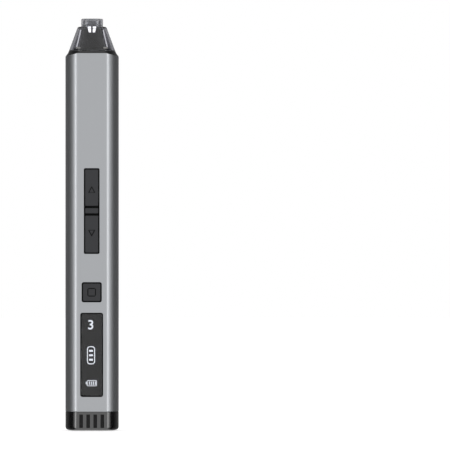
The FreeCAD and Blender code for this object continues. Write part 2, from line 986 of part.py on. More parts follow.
def make_planet(stage, index):
    """Planet gear on its pin, with a tooth space towards the sun and a tooth in the ring."""
    bottom = planet_bottoms[stage]
    face = gear_face(
        planet_teeth, planet_pitch_radius - dedendum, planet_pitch_radius + addendum,
        tooth_width - backlash, 0, bottom,
    )
    planet = face.extrude(Vector(0, 0, planet_width))
    bore = cylinder(planet_pin_radius + running_clearance, bottom, bottom + planet_width)
    planet = planet.cut(bore)
    planet.translate(Vector(planet_circle, 0, 0))
    return copies(planet, planet_count, first_planet_angle)[index]


def make_ring_gear():
    """Gearbox housing, keyed to the tube by its flat, with teeth along its bore."""
    housing = section_bar(inner_inset, ring_bottom, ring_top)
    face = gear_face(
        ring_teeth, ring_pitch_radius - addendum, ring_pitch_radius + dedendum,
        tooth_width + backlash, first_planet_angle, ring_bottom,
    )
    return housing.cut(face.extrude(Vector(0, 0, ring_top - ring_bottom)))


def planet_pins(stage):
    """Pins that hang below a carrier plate and carry its planets."""
    low = planet_bottoms[stage] + pin_end_gap
    pin = cylinder(planet_pin_radius, low, carrier_bottoms[stage], planet_circle, 0)
    return copies(pin, planet_count, first_planet_angle)


def make_carrier(stage):
    """Carrier plate with its planet pins below and the next sun gear on top."""
    plate = cylinder(carrier_radius, carrier_bottoms[stage], carrier_tops[stage])
    sun = sun_gear(carrier_tops[stage], planet_tops[stage + 1])
    return joined([plate, sun] + planet_pins(stage))


def make_motor_plate():
    """Thin plate between the motor and the gearbox."""
    plate = section_bar(inner_inset, motor_front, ring_bottom)
    return plate.cut(cylinder(motor_plate_hole, motor_front, ring_bottom))


def make_gearbox_cap():
    """Front cover of the gearbox, which seats the spindle bush."""
    cap = section_bar(inner_inset, ring_top, barrel_top)
    seat = bush_top - bush_flange_length
    cap = cap.cut(cylinder(bush_diameter / 2, ring_top, seat))
    return cap.cut(cylinder(bush_flange_diameter / 2, seat, barrel_top))


def make_spindle_bush():
    """Flanged sintered bush in which the spindle turns."""
    seat = bush_top - bush_flange_length
    body = cylinder(bush_diameter / 2, bush_bottom, seat)
    flange = cylinder(bush_flange_diameter / 2, seat, bush_top)
    return joined([body, flange]).cut(cylinder(spindle_radius + bush_fit, bush_bottom, bush_top))


def hexagon_bar(width, bottom, top):
    """Six-sided bar along Z with flats towards +Y and -Y."""
    radius = width / math.sqrt(3)
    corners = []
    for index in range(6):
        angle = math.radians(60 * index)
        corners.append(Vector(radius * math.cos(angle), radius * math.sin(angle), bottom))
    face = Part.Face(Part.makePolygon(corners + corners[:1]))
    return face.extrude(Vector(0, 0, top - bottom))


def socket_floor():
    """Height of the bottom of the bit socket."""
    return spindle_top - socket_depth


def make_spindle():
    """Output spindle: bit socket in front, carrier plate and planet pins behind."""
    last = len(carrier_tops) - 1
    plate = cylinder(carrier_radius, carrier_bottoms[last], carrier_tops[last])
    shank = cylinder(spindle_radius, carrier_tops[last], spindle_top)
    rim = [edge for edge in shank.Edges if abs(edge.BoundBox.ZMin - spindle_top) < 1e-4]
    shank = shank.makeChamfer(spindle_chamfer, rim)
    spindle = joined([plate, shank] + planet_pins(last))
    floor = socket_floor()
    spindle = spindle.cut(hexagon_bar(socket_width, floor, spindle_top))
    spindle = spindle.cut(cylinder(mouth_radius, spindle_top - mouth_depth, spindle_top))
    return spindle.cut(cylinder(magnet_radius, floor - magnet_length, floor))


def make_bit_magnet():
    """Round magnet that holds the bit at the bottom of the socket."""
    return cylinder(magnet_radius, socket_floor() - magnet_length, socket_floor())


def make_motor_shaft():
    """Steel shaft through the motor, up to the first sun gear."""
    return cylinder(shaft_radius, motor_rear + shaft_rear_gap, planet_tops[0])


def make_motor_pinion():
    """First sun gear, pressed on the motor shaft."""
    bottom = planet_bottoms[0]
    return sun_gear(bottom, planet_tops[0]).cut(cylinder(shaft_radius, bottom, planet_tops[0]))


def front_trim(bottom, top):
    """Block in front of the flat, which trims the nose parts flush."""
    reach = body_diameter
    face = -flat_distance + nose_flat_step
    return block(-reach, reach, -reach, face, bottom, top)


def make_nose_collar():
    """Dark ring between the tube and the nose, with a lip that holds the bush down."""
    outer = body_radius - barrel_chamfer
    lip_bottom = bush_top
    lip_radius = bush_flange_diameter / 2 - face_gap
    collar = turned([
        (collar_bore, lip_bottom),
        (lip_radius, lip_bottom),
        (lip_radius, barrel_top),
        (outer, barrel_top),
        (collar_top_radius, nose_base),
        (collar_bore, nose_base),
    ])
    return collar.cut(front_trim(barrel_top, nose_base))


def make_nose_cone():
    """Translucent cone that spreads the light, open at the top for the sleeve."""
    shoulder_z = nose_top - nose_shoulder_drop
    cone_top = nose_top - tip_length
    inner_base = collar_top_radius - nose_wall
    inner_shoulder = nose_shoulder_radius - nose_wall
    ceiling = shoulder_z - nose_wall / 2
    slope = math.atan2(collar_top_radius - nose_shoulder_radius, shoulder_z - nose_base)
    round_centre = (
        nose_shoulder_radius - nose_shoulder_round * math.cos(slope),
        shoulder_z - nose_shoulder_round * math.sin(slope),
    )
    outline = [(inner_base, nose_base), (collar_top_radius, nose_base)]
    for step in range(edge_steps + 1):
        angle = slope + (math.pi / 2 - slope) * step / edge_steps
        outline.append((
            round_centre[0] + nose_shoulder_round * math.cos(angle),
            round_centre[1] + nose_shoulder_round * math.sin(angle),
        ))
    sleeve_hole = tip_radius + face_gap
    outline += [
        (sleeve_hole, cone_top),
        (sleeve_hole, ceiling),
        (inner_shoulder, ceiling),
    ]
    return turned(outline).cut(front_trim(nose_base, nose_top))


def make_light_board():
    """Ring board that carries the work lights, on top of the collar."""
    rise = nose_length - nose_shoulder_drop
    taper = (collar_top_radius - nose_shoulder_radius) * light_board_thickness / rise
    outer = collar_top_radius - nose_wall - taper - light_board_margin
    return tube(outer, collar_bore, nose_base, nose_base + light_board_thickness)


def make_work_lights():
    """Small lamps spaced round the light board."""
    low = nose_base + light_board_thickness
    lamp = block(
        light_circle - light_depth / 2, light_circle + light_depth / 2,
        -light_width / 2, light_width / 2, low, low + light_height,
    )
    return group(copies(lamp, light_count, first_light_angle))


def make_spindle_shroud():
    """Dark sleeve round the spindle, with a bulge inside the nose; its upper end is the tip."""
    low = nose_base + light_board_thickness
    bulge_low = nose_base + shroud_bulge_low
    bulge_high = nose_base + shroud_bulge_high
    return turned([
        (tip_bore, low),
        (collar_bore, low),
        (shroud_bulge_radius, bulge_low),
        (shroud_bulge_radius, bulge_high),
        (tip_radius, bulge_high + shroud_bulge_radius - tip_radius),
        (tip_radius, nose_top - tip_edge),
        (tip_radius - tip_edge, nose_top),
        (tip_bore, nose_top),
    ])


single_pieces = {
    "barrel": make_barrel,
    "tail_cap": make_tail_cap,
    "nose_collar": make_nose_collar,
    "nose_cone": make_nose_cone,
    "spindle_shroud": make_spindle_shroud,
    "light_board": make_light_board,
    "work_lights": make_work_lights,
    "display_window": make_display_window,
    "display_panel": make_display_panel,
    "button_divider": make_button_divider,
    "up_button": make_up_button,
    "down_button": make_down_button,
    "function_button": make_function_button,
    "tact_switches": make_tact_switches,
    "main_board": make_main_board,
    "board_components": make_board_components,
    "board_screws": make_board_screws,
    "battery_cell": make_battery_cell,
    "battery_tabs": make_battery_tabs,
    "battery_pads": make_battery_pads,
    "chassis": make_chassis,
    "charging_port": make_charging_port,
    "port_tongue": make_port_tongue,
    "charge_board": make_charge_board,
    "charge_flex": make_charge_flex,
    "motor_leads": make_motor_leads,
    "motor_can": make_motor_can,
    "motor_end_cap": make_motor_end_cap,
    "motor_terminals": make_motor_terminals,
    "motor_magnets": make_motor_magnets,
    "armature": make_armature,
    "rotor_windings": make_rotor_windings,
    "motor_shaft": make_motor_shaft,
    "motor_pinion": make_motor_pinion,
    "motor_plate": make_motor_plate,
    "ring_gear": make_ring_gear,
    "gearbox_cap": make_gearbox_cap,
    "spindle_bush": make_spindle_bush,
    "spindle": make_spindle,
    "bit_magnet": make_bit_magnet,
}

for piece_name, make_piece in single_pieces.items():
    save(make_piece(), piece_name)

for switch_name in ("up", "down", "function"):
    save(make_plunger(switch_name), switch_name + "_plunger")

for carrier_stage in range(2):
    save(make_carrier(carrier_stage), "carrier_" + str(carrier_stage + 1))

for planet_stage in range(3):
    for planet_index in range(planet_count):
        planet_name = "planet_" + str(planet_stage + 1) + "_" + "abc"[planet_index]
        save(make_planet(planet_stage, planet_index), planet_name)
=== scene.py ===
import json
import math

import bmesh
import bpy
from mathutils import Matrix, Vector


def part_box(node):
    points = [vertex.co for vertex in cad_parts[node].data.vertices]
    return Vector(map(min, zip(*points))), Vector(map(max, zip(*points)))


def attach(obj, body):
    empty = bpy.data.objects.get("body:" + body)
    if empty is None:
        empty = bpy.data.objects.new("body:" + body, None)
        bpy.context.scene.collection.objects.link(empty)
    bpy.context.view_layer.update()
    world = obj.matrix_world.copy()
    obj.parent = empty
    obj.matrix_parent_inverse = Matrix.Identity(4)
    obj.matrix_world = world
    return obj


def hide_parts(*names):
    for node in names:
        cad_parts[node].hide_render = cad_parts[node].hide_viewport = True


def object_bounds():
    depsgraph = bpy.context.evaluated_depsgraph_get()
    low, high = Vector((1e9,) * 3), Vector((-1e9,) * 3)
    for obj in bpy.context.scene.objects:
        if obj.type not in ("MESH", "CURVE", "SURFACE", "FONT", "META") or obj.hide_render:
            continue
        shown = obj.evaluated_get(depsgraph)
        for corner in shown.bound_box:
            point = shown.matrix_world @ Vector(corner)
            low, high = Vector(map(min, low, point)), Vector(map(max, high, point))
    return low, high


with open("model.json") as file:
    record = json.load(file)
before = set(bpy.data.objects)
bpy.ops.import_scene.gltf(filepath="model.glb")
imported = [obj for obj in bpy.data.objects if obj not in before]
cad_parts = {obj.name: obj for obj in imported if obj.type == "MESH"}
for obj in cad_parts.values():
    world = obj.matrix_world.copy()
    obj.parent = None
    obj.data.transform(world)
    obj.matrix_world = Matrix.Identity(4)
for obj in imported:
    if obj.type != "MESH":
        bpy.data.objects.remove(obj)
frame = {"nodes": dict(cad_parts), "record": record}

# The tool stands on its tail: Z runs to the nose, and the buttons and the display face -Y.
# Sizes here are millimetres, and mm() turns them to Blender's metres.
cad_low, cad_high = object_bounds()
nodes = frame["nodes"]


def mm(value):
    """Millimetres to metres."""
    return value * 0.001


def span(node, axis):
    """Lowest and highest place of a node along an axis, in millimetres."""
    low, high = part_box(node)
    return low[axis] * 1000, high[axis] * 1000


X, Y, Z = 0, 1, 2

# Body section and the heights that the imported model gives
body_radius = span("barrel", X)[1]
flat_distance = -span("barrel", Y)[0]
tail_top, barrel_top = span("barrel", Z)
# The tube's top edge is drawn a quarter millimetre lower, where the photograph has it
barrel_top -= 0.25
spigot_top = span("tail_cap", Z)[1]
nose_base = span("nose_collar", Z)[1]
nose_top = cad_high.z * 1000
wall = 1.0
flat_edge = 2.2
least_edge = 0.3
spigot_inset = 1.15
pocket_inset = 2.15
pocket_floor = 2.0
shoulder_radius = 8.2
shoulder_slope = 1.3
shoulder_front = 1.1
round_steps = 112
bend_steps = 10
corner_steps = 8
end_steps = 12
crisp_angle = 32

# Openings in the tube, and the seat of the lens: width, height, corner and centre (x, z)
window_opening = (7.74, 28.4, 0.8, (0, 25.5))
lens_seat = (7.7, 28.36, 0.8, (0, 25.5))
function_opening = (6.8, 6.8, 0.7, (0, 46.6))
slot_opening = (5.3, 28.9, 0.5, (0, 73.95))

# Keys, the fixed bar between them, and the painted shade strips in their gaps
key_clearance = 0.37
key_trim = 0.1
key_foot = 0.95
bar_low, bar_high = (round(place, 3) for place in span("button_divider", Z))
bar_gap = 0.6
gap_shade_line = 0.5
gap_shade_front = 0.55

# Lens and the lit signs behind it
lens_back = -5.9
sign_gap = 0.005
sign_depth = 0.04

# Tail cap
port_opening = (9.3, 3.62)
floor_inset = 6.5
groove_count = 4
groove_pitch = 2.38
groove_radius = 0.61
groove_depth = 0.5
groove_low = 0.9
groove_high = 5.4

# Nose: radii, and heights
collar_bore = 4.0
plug_radius = 5.15
plug_foot = 126.2
cone_foot = 7.85
cone_bore = 3.75
cone_top = 136.22
tip_bore = 3.15
tip_radius = 3.7
bulge_radius = 4.3
sleeve_foot = 128.6
sleeve_dark = 135.9
sleeve_pale = 136.5


# Colours and materials

def linear(code):
    """sRGB hex code to linear colour."""
    parts = [int(code[place:place + 2], 16) / 255 for place in (0, 2, 4)]
    return tuple(c / 12.92 if c <= 0.04045 else ((c + 0.055) / 1.055) ** 2.4 for c in parts) + (1.0,)


def put(tree, kind, settings=None, links=None):
    """Add a node, set its properties or inputs, and link its inputs."""
    made = tree.nodes.new(kind)
    for key, value in (settings or {}).items():
        if isinstance(key, int) or key in made.inputs:
            made.inputs[key].default_value = value
        else:
            setattr(made, key, value)
    for key, source in (links or {}).items():
        tree.links.new(source, made.inputs[key])
    return made


# Every finish by its name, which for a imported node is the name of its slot
finish_for = {}


def finish(name, colour, roughness, metallic=0.0, grain=0.2, bump=0.01, mottle=None,
           rough_swing=0.08, stretch=(1, 1, 1), detail=2.0):
    """Material whose colour, gloss and relief follow one noise of the given grain in millimetres."""
    made = bpy.data.materials.new(name)
    made.use_nodes = True
    tree = made.node_tree
    shader = tree.nodes["Principled BSDF"]
    place = put(tree, "ShaderNodeTexCoord")
    laid = put(tree, "ShaderNodeMapping", {"Scale": stretch}, {"Vector": place.outputs["Object"]})
    noise = put(tree, "ShaderNodeTexNoise", {"Scale": 1000 / grain, "Detail": detail},
                {"Vector": laid.outputs["Vector"]})
    tone = put(tree, "ShaderNodeMix", {"data_type": "RGBA", 6: linear(colour),
               7: linear(mottle or colour)}, {0: noise.outputs["Fac"]})
    gloss = put(tree, "ShaderNodeMapRange", {"To Min": roughness - rough_swing,
                "To Max": roughness + rough_swing}, {"Value": noise.outputs["Fac"]})
    relief = put(tree, "ShaderNodeBump", {"Distance": mm(bump), "Strength": 1.0},
                 {"Height": noise.outputs["Fac"]})
    tree.links.new(tone.outputs[2], shader.inputs["Base Color"])
    tree.links.new(gloss.outputs["Result"], shader.inputs["Roughness"])
    tree.links.new(relief.outputs["Normal"], shader.inputs["Normal"])
    shader.inputs["Metallic"].default_value = metallic
    finish_for[name] = made
    return made


def tuned(made, values):
    """Set inputs of a material's shader."""
    for name, value in values.items():
        made.node_tree.nodes["Principled BSDF"].inputs[name].default_value = value
    return made


def plastic(made, ior):
    """Give a plastic or mineral its refractive index."""
    return tuned(made, {"IOR": ior})


def clear(made, ior, share=1.0):
    """Make a plastic see-through."""
    return tuned(made, {"IOR": ior, "Transmission Weight": share})


def glowing(made, colour, strength):
    """Let a material give light."""
    return tuned(made, {"Emission Color": linear(colour), "Emission Strength": strength})


def embossed(made, texture, settings, height, depth, strength):
    """Give a material the relief of a texture, with its depth in millimetres."""
    tree = made.node_tree
    place = put(tree, "ShaderNodeTexCoord")
    pattern = put(tree, texture, settings, {"Vector": place.outputs["Object"]})
    relief = put(tree, "ShaderNodeBump", {"Distance": mm(depth), "Strength": strength},
                 {"Height": pattern.outputs[height]})
    tree.links.new(relief.outputs["Normal"], tree.nodes["Principled BSDF"].inputs["Normal"])
    return made


def overlaid(made, share, colour):
    """Lay another colour over a material's own, by a share between 0 and 1."""
    tree = made.node_tree
    base = tree.nodes["Principled BSDF"].inputs["Base Color"]
    tone = put(tree, "ShaderNodeMix", {"data_type": "RGBA", 7: linear(colour)},
               {0: share, 6: base.links[0].from_socket})
    tree.links.new(tone.outputs[2], base)
    return made


def bands(spacing):
    """Scale of a wave pattern whose bands are about the given millimetres apart."""
    return 1000 / spacing / math.pi


def anodised_aluminium():
    """Bead blasted tube with a clear grey anodic film: an even satin with a very fine matt grain."""
    return finish("anodised_aluminium", "A6A8AB", 0.4, metallic=1.0, grain=0.12, bump=0.0015,
                  mottle="ACAEB1", rough_swing=0.03, detail=3.0)


def black_abs():
    """Moulded black ABS with a light spark texture: near black, with a soft broad sheen."""
    return plastic(finish("black_abs", "141416", 0.3, grain=0.09, bump=0.0015, mottle="19191B",
                          rough_swing=0.05), 1.54)


def polished_black_abs():
    """Black ABS from a polished mould: a deep black that mirrors the lamps in clear bands."""
    made = finish("polished_black_abs", "09090A", 0.16, grain=0.8, bump=0.0008, mottle="0C0C0D",
                  rough_swing=0.02)
    return tuned(made, {"IOR": 1.6, "Specular IOR Level": 1.0})


def button_plastic():
    """Fine textured ABS of the keys: a flat charcoal with almost no highlight."""
    return plastic(finish("button_plastic", "15161B", 0.5, grain=0.07, bump=0.002, mottle="1B1C21"), 1.54)


def smoked_polycarbonate():
    """Moulded grey tinted polycarbonate: glossy and see-through, with faint flow waves."""
    return clear(finish("smoked_polycarbonate", "89898E", 0.05, grain=2.5, bump=0.004, rough_swing=0.02,
                        detail=1.0), 1.52)


def painted_glint_rod():
    """Frosted clear polycarbonate with a painted glow: a soft white line that stands in for the glints on the
    inside of the cone.
    """
    made = plastic(finish("painted_glint_rod", "E8E8E4", 0.3, grain=0.4, bump=0.001, mottle="F4F4F0"), 1.58)
    # The glow is a painted glint, not light from the lamps.
    return glowing(made, "FFFFFF", 2.0)


def sleeve_polycarbonate():
    """Tinted polycarbonate: see-through at the tip, nearly black where it is thick below."""
    made = clear(finish("sleeve_polycarbonate", "B6B6BA", 0.12, grain=1.5, bump=0.004,
                        rough_swing=0.03), 1.52, 0.95)
    tree = made.node_tree
    place = put(tree, "ShaderNodeTexCoord")
    parts = put(tree, "ShaderNodeSeparateXYZ", {}, {"Vector": place.outputs["Object"]})
    dark = put(tree, "ShaderNodeMapRange", {"From Min": mm(sleeve_dark), "From Max": mm(sleeve_pale),
               "To Min": 1.0, "To Max": 0.0}, {"Value": parts.outputs["Z"]})
    return overlaid(made, dark.outputs["Result"], "2C2C2E")


def display_glass():
    """Tinted acrylic lens: darkens the panel behind it, with one clean reflection."""
    return clear(finish("display_glass", "8E8F92", 0.02, grain=6.0, bump=0.0004, rough_swing=0.01), 1.47)


def display_module():
    """Unlit display glass, bonded to the lens: almost black, without gloss, with a fine pixel grid."""
    made = finish("display_module", "0A0B0D", 0.25, grain=0.4, bump=0.0, mottle="0E0F12")
    tuned(made, {"IOR": 1.5, "Specular IOR Level": 0.1})
    tree = made.node_tree
    place = put(tree, "ShaderNodeTexCoord")
    facing = put(tree, "ShaderNodeMapping", {"Rotation": (math.pi / 2, 0, 0)},
                 {"Vector": place.outputs["Object"]})
    grid = put(tree, "ShaderNodeTexBrick", {"offset": 0.0, "Scale": 1000 / 0.3, "Brick Width": 0.5,
               "Row Height": 0.5, "Mortar Size": 0.04, "Color1": linear("0C0D10"),
               "Color2": linear("0E0F12"), "Mortar": linear("050506")},
               {"Vector": facing.outputs["Vector"]})
    tree.links.new(grid.outputs["Color"], tree.nodes["Principled BSDF"].inputs["Base Color"])
    return made


def lit_pixels():
    """Lit white pixels of the display: a cool even glow."""
    return glowing(finish("lit_pixels", "FFFFFF", 0.5, grain=0.1, bump=0.0), "F7FAFF", 3.2)


def lamp_resin():
    """Clear resin over a pale yellow phosphor: a waxy cream that glows a little."""
    made = plastic(finish("lamp_resin", "EFE8C0", 0.25, grain=0.1, bump=0.002, mottle="F7F2D2"), 1.52)
    return glowing(made, "FFFDF4", 0.6)


def painted_window_highlight():
    """Painted highlight: the white reflection of a window on the glossy nose, given as an even white glow."""
    made = plastic(finish("painted_window_highlight", "FAFAFA", 0.35, grain=0.3, bump=0.0, mottle="F4F4F4"), 1.58)
    # The glow paints a window's reflection; there is no lamp behind it.
    return glowing(made, "FFFFFF", 5.0)


def spark_black_abs():
    """Black ABS from a spark eroded mould face: dull and dark, in the grooves of the end cap."""
    made = finish("spark_black_abs", "0B0B0B", 0.42, grain=0.08, bump=0.002, mottle="101010")
    return tuned(made, {"IOR": 1.54, "Specular IOR Level": 0.2})


def gap_shade_and_mark_fill():
    """Near-black and nearly matt: painted shade at the bottom of the gaps round the keys and the lens, and
    the black fill of the marks; almost no light comes back.
    """
    made = finish("gap_shade_and_mark_fill", "060606", 0.8, grain=0.1, bump=0.001, mottle="0A0A0A")
    return tuned(made, {"IOR": 1.5, "Specular IOR Level": 0.15})


def solder_mask():
    """Green solder mask over copper: satin green, with the tracks as paler lines just under it."""
    made = plastic(finish("circuit_board", "0E3B24", 0.32, grain=0.6, bump=0.002, mottle="124629"), 1.5)
    tree = made.node_tree
    place = put(tree, "ShaderNodeTexCoord")
    tracks = put(tree, "ShaderNodeTexVoronoi", {"distance": "MANHATTAN", "feature": "DISTANCE_TO_EDGE",
                 "Scale": 1000 / 1.2, "Randomness": 0.9}, {"Vector": place.outputs["Object"]})
    line = put(tree, "ShaderNodeMapRange", {"From Min": 0.03, "From Max": 0.05, "To Min": 1.0, "To Max": 0.0},
               {"Value": tracks.outputs["Distance"]})
    return overlaid(made, line.outputs["Result"], "1F6A3E")


def chip_epoxy():
    """Moulded epoxy of the chips: a dry dark grey with a fine sanded grain."""
    return plastic(finish("chip_epoxy", "18191B", 0.55, grain=0.05, bump=0.002, mottle="232427"), 1.55)


def zinc_steel():
    """Bright zinc plated steel of the screws: pale and slightly blue, with a soft gloss."""
    return finish("zinc_steel", "A9ADB2", 0.32, metallic=1.0, grain=0.15, bump=0.001, mottle="BFC3C8")


def shrink_wrap():
    """Blue PVC shrink film over the cell: a smooth satin with faint hoop wrinkles."""
    return plastic(finish("battery_can", "1B5FA8", 0.28, grain=1.2, bump=0.01, mottle="2168B4",
                          stretch=(1, 1, 4)), 1.53)


def closed_cell_foam():
    """Die-cut closed cell foam: matt charcoal, pitted by its cells."""
    made = finish("foam", "2A2B30", 0.9, grain=0.35, bump=0.0, mottle="3B3C43", rough_swing=0.04)
    return embossed(made, "ShaderNodeTexVoronoi", {"Scale": 1000 / 0.25}, "Distance", 0.08, 0.8)


def nickel_strip():
    """Rolled nickel plated sheet: warm silver with lines along the rolling direction."""
    return finish("nickel_strip", "B8B6AE", 0.28, metallic=1.0, grain=0.08, bump=0.0015, mottle="C8C6BE",
                  stretch=(1, 1, 0.05))


def silicone_lead():
    """Red silicone insulation: soft, slightly dusty."""
    return plastic(finish("lead_insulation", "8E1F1A", 0.45, grain=0.2, bump=0.002, mottle="992822"), 1.42)


def polyimide_film():
    """Amber polyimide flex: glossy film over dark copper tracks along it, about 1 mm apart."""
    made = plastic(finish("flex_polyimide", "B06018", 0.25, grain=0.3, bump=0.001, mottle="BC6C22"), 1.7)
    tree = made.node_tree
    place = put(tree, "ShaderNodeTexCoord")
    tracks = put(tree, "ShaderNodeTexWave", {"bands_direction": "X", "Scale": bands(1.0),
                 "Distortion": 0.0}, {"Vector": place.outputs["Object"]})
    return overlaid(made, tracks.outputs["Fac"], "6E3A12")


def natural_nylon():
    """Natural moulded nylon: a milky off-white that softens its own edges."""
    made = finish("motor_nylon", "E4E1D6", 0.42, grain=0.25, bump=0.002, mottle="EDEAE0")
    return tuned(made, {"IOR": 1.53, "Subsurface Weight": 0.15, "Subsurface Scale": mm(0.5)})


def stamped_brass():
    """Stamped brass: yellow, with faint punch lines."""
    return finish("brass_blade", "C9A24E", 0.28, metallic=1.0, grain=0.1, bump=0.001, mottle="D6B466",
                  stretch=(1, 1, 0.1))


def sintered_ferrite():
    """Sintered ferrite: a dull dark grey like slate."""
    return plastic(finish("ferrite", "2B2C2F", 0.62, grain=0.06, bump=0.004, mottle="3A3B3F"), 1.9)


def bright_nickel():
    """Bright nickel on the magnet: almost a mirror."""
    return finish("magnet_nickel", "B4B5B6", 0.14, metallic=1.0, grain=0.6, bump=0.001, mottle="C0C1C2",
                  rough_swing=0.04)


def oiled_gear_steel():
    """Sintered gear steel with a film of oil: dark, speckled by its pores, and wet looking."""
    made = finish("gear_steel", "808387", 0.34, metallic=1.0, grain=0.06, bump=0.003, mottle="93969A")
    return tuned(made, {"Coat Weight": 0.4, "Coat Roughness": 0.12})


def stacked_laminations():
    """Core of thin steel sheets, 0.35 mm each: fine rings across the axis."""
    made = finish("core_steel", "6C6E71", 0.42, metallic=1.0, grain=0.2, bump=0.0, mottle="77797C")
    return embossed(made, "ShaderNodeTexWave", {"bands_direction": "Z", "Scale": bands(0.35),
                    "Distortion": 0.0}, "Fac", 0.03, 0.7)


def enamelled_copper():
    """Enamelled copper wire, wound in close turns 0.2 mm apart: red gold with round glints."""
    made = finish("copper_wire", "B4683A", 0.26, metallic=1.0, grain=0.3, bump=0.0, mottle="C67A48")
    return embossed(made, "ShaderNodeTexWave", {"bands_direction": "X", "Scale": bands(0.2),
                    "Distortion": 0.4}, "Fac", 0.06, 0.8)


def ground_steel():
    """Turned and ground tool steel: grey with fine rings round the axis."""
    return finish("spindle_steel", "9DA0A4", 0.24, metallic=1.0, grain=0.07, bump=0.0015, mottle="ABAEB2",
                  stretch=(0.15, 0.15, 1))


def sintered_bronze():
    """Oil filled sintered bronze: brown gold, dull and porous."""
    return finish("sintered_bronze", "8F6C3C", 0.48, metallic=1.0, grain=0.05, bump=0.004, mottle="A98550")


def machined_alloy():
    """Machined zinc alloy: light grey with a faint tool finish."""
    return finish("gearbox_alloy", "8F9296", 0.42, metallic=1.0, grain=0.12, bump=0.002, mottle="9C9FA3",
                  stretch=(1, 1, 0.3))


def black_solder_mask():
    """Black solder mask over copper, on the board of the lamps: a satin black."""
    return plastic(finish("black_solder_mask", "101112", 0.35, grain=0.4, bump=0.002, mottle="18191B"), 1.5)


for make in (
        anodised_aluminium, black_abs, polished_black_abs, spark_black_abs, button_plastic,
        smoked_polycarbonate, sleeve_polycarbonate, painted_glint_rod, painted_window_highlight, lamp_resin, display_glass,
        display_module, lit_pixels, gap_shade_and_mark_fill, solder_mask, black_solder_mask, chip_epoxy, zinc_steel,
        shrink_wrap, closed_cell_foam, nickel_strip, silicone_lead, polyimide_film, natural_nylon,
        stamped_brass, sintered_ferrite, bright_nickel, oiled_gear_steel, stacked_laminations,
        enamelled_copper, ground_steel, sintered_bronze, machined_alloy):
    make()


# Shapes

def shown(name, mesh_in):
    """Object from a bmesh, at the origin."""
    bmesh.ops.recalc_face_normals(mesh_in, faces=mesh_in.faces)
    data = bpy.data.meshes.new(name)
    mesh_in.to_mesh(data)
    mesh_in.free()
    made = bpy.data.objects.new(name, data)
    bpy.context.scene.collection.objects.link(made)
    return made


def settled(made):
    """Bake the modifiers of a piece into its mesh."""
    graph = bpy.context.evaluated_depsgraph_get()
    data = bpy.data.meshes.new_from_object(made.evaluated_get(graph))
    made.modifiers.clear()
    made.data = data
    return made


def smoothed(made):
    """Smooth shading that keeps the sharper edges crisp."""
    made.data.polygons.foreach_set("use_smooth", [True] * len(made.data.polygons))
    made.data.set_sharp_from_angle(angle=math.radians(crisp_angle))
    weigh = made.modifiers.new("weigh", "WEIGHTED_NORMAL")
    weigh.keep_sharp = True
    return settled(made)


def cut(made, cutters, operation="DIFFERENCE"):
    """Boolean of a piece with tools, which are deleted afterwards."""
    for tool in cutters:
        step = made.modifiers.new("cut", "BOOLEAN")
        step.operation = operation
        step.solver = "EXACT"
        step.object = tool
    settled(made)
    for tool in cutters:
        bpy.data.objects.remove(tool)
    return made


def joined_up(made):
    """Join the coplanar faces that a boolean leaves behind."""
    mesh = bmesh.new()
    mesh.from_mesh(made.data)
    bmesh.ops.remove_doubles(mesh, verts=mesh.verts, dist=mm(0.002))
    bmesh.ops.dissolve_limit(mesh, angle_limit=math.radians(0.3), verts=mesh.verts, edges=mesh.edges)
    mesh.to_mesh(made.data)
    mesh.free()
    return made


def eased(made, width, angle=60, segments=3):
    """Round the sharp edges of a piece a little."""
    step = made.modifiers.new("ease", "BEVEL")
    step.width = mm(width)
    step.segments = segments
    step.limit_method = "ANGLE"
    step.angle_limit = math.radians(angle)
    step.harden_normals = False
    return settled(made)


def softened(profile, steps=4):
    """Closed (offset, z, corner radius) profile with its corners turned to arcs."""
    result = []
    count = len(profile)
    for index, (a, b, radius) in enumerate(profile):
        here = Vector((a, b))
        back = Vector(profile[index - 1][:2]) - here
        ahead = Vector(profile[(index + 1) % count][:2]) - here
        if radius <= 0:
            result.append((a, b))
            continue
        half = back.angle(ahead) / 2
        reach = radius / math.tan(half)
        start = here + back.normalized() * reach
        end = here + ahead.normalized() * reach
        middle = (back.normalized() + ahead.normalized()).normalized()
        centre = here + middle * (radius / math.sin(half))
        first = start - centre
        last = end - centre
        turn = first.angle_signed(last)
        for step in range(steps + 1):
            angle = -turn * step / steps
            swung = Vector((
                first.x * math.cos(angle) - first.y * math.sin(angle),
                first.x * math.sin(angle) + first.y * math.cos(angle),
            ))
            result.append(tuple(centre + swung))
    return result


def arc(centre, radius, start, sweep, steps, z):
    """Points of an arc about an upright axis, with both its ends."""
    turns = [start + sweep * step / steps for step in range(steps + 1)]
    return [Vector((centre[0] + radius * math.cos(turn), centre[1] + radius * math.sin(turn), z))
            for turn in turns]


def body_ring(inset, z):
    """Points of the body section, drawn in by the inset: a circle with a blended front flat."""
    radius = body_radius - inset
    edge = max(flat_edge - inset, least_edge)
    y = -(flat_distance - inset - edge)
    x = math.sqrt((radius - edge) ** 2 - y ** 2)
    angle = math.atan2(y, x)
    bend = math.pi / 2 + angle
    return (arc((0, 0), radius, angle, math.pi - 2 * angle, round_steps, z)
            + arc((-x, y), edge, math.pi - angle, bend, bend_steps, z)[1:]
            + arc((x, y), edge, -math.pi / 2, bend, bend_steps, z)[:-1])


def circle_ring(radius, z, front=0.0):
    """Points of a circle about the tool axis, whose front half may be stretched forward."""
    points = []
    for step in range(round_steps):
        turn = 2 * math.pi * step / round_steps
        reach = radius + (front if math.sin(turn) < 0 else 0)
        points.append(Vector((radius * math.cos(turn), reach * math.sin(turn), z)))
    return points


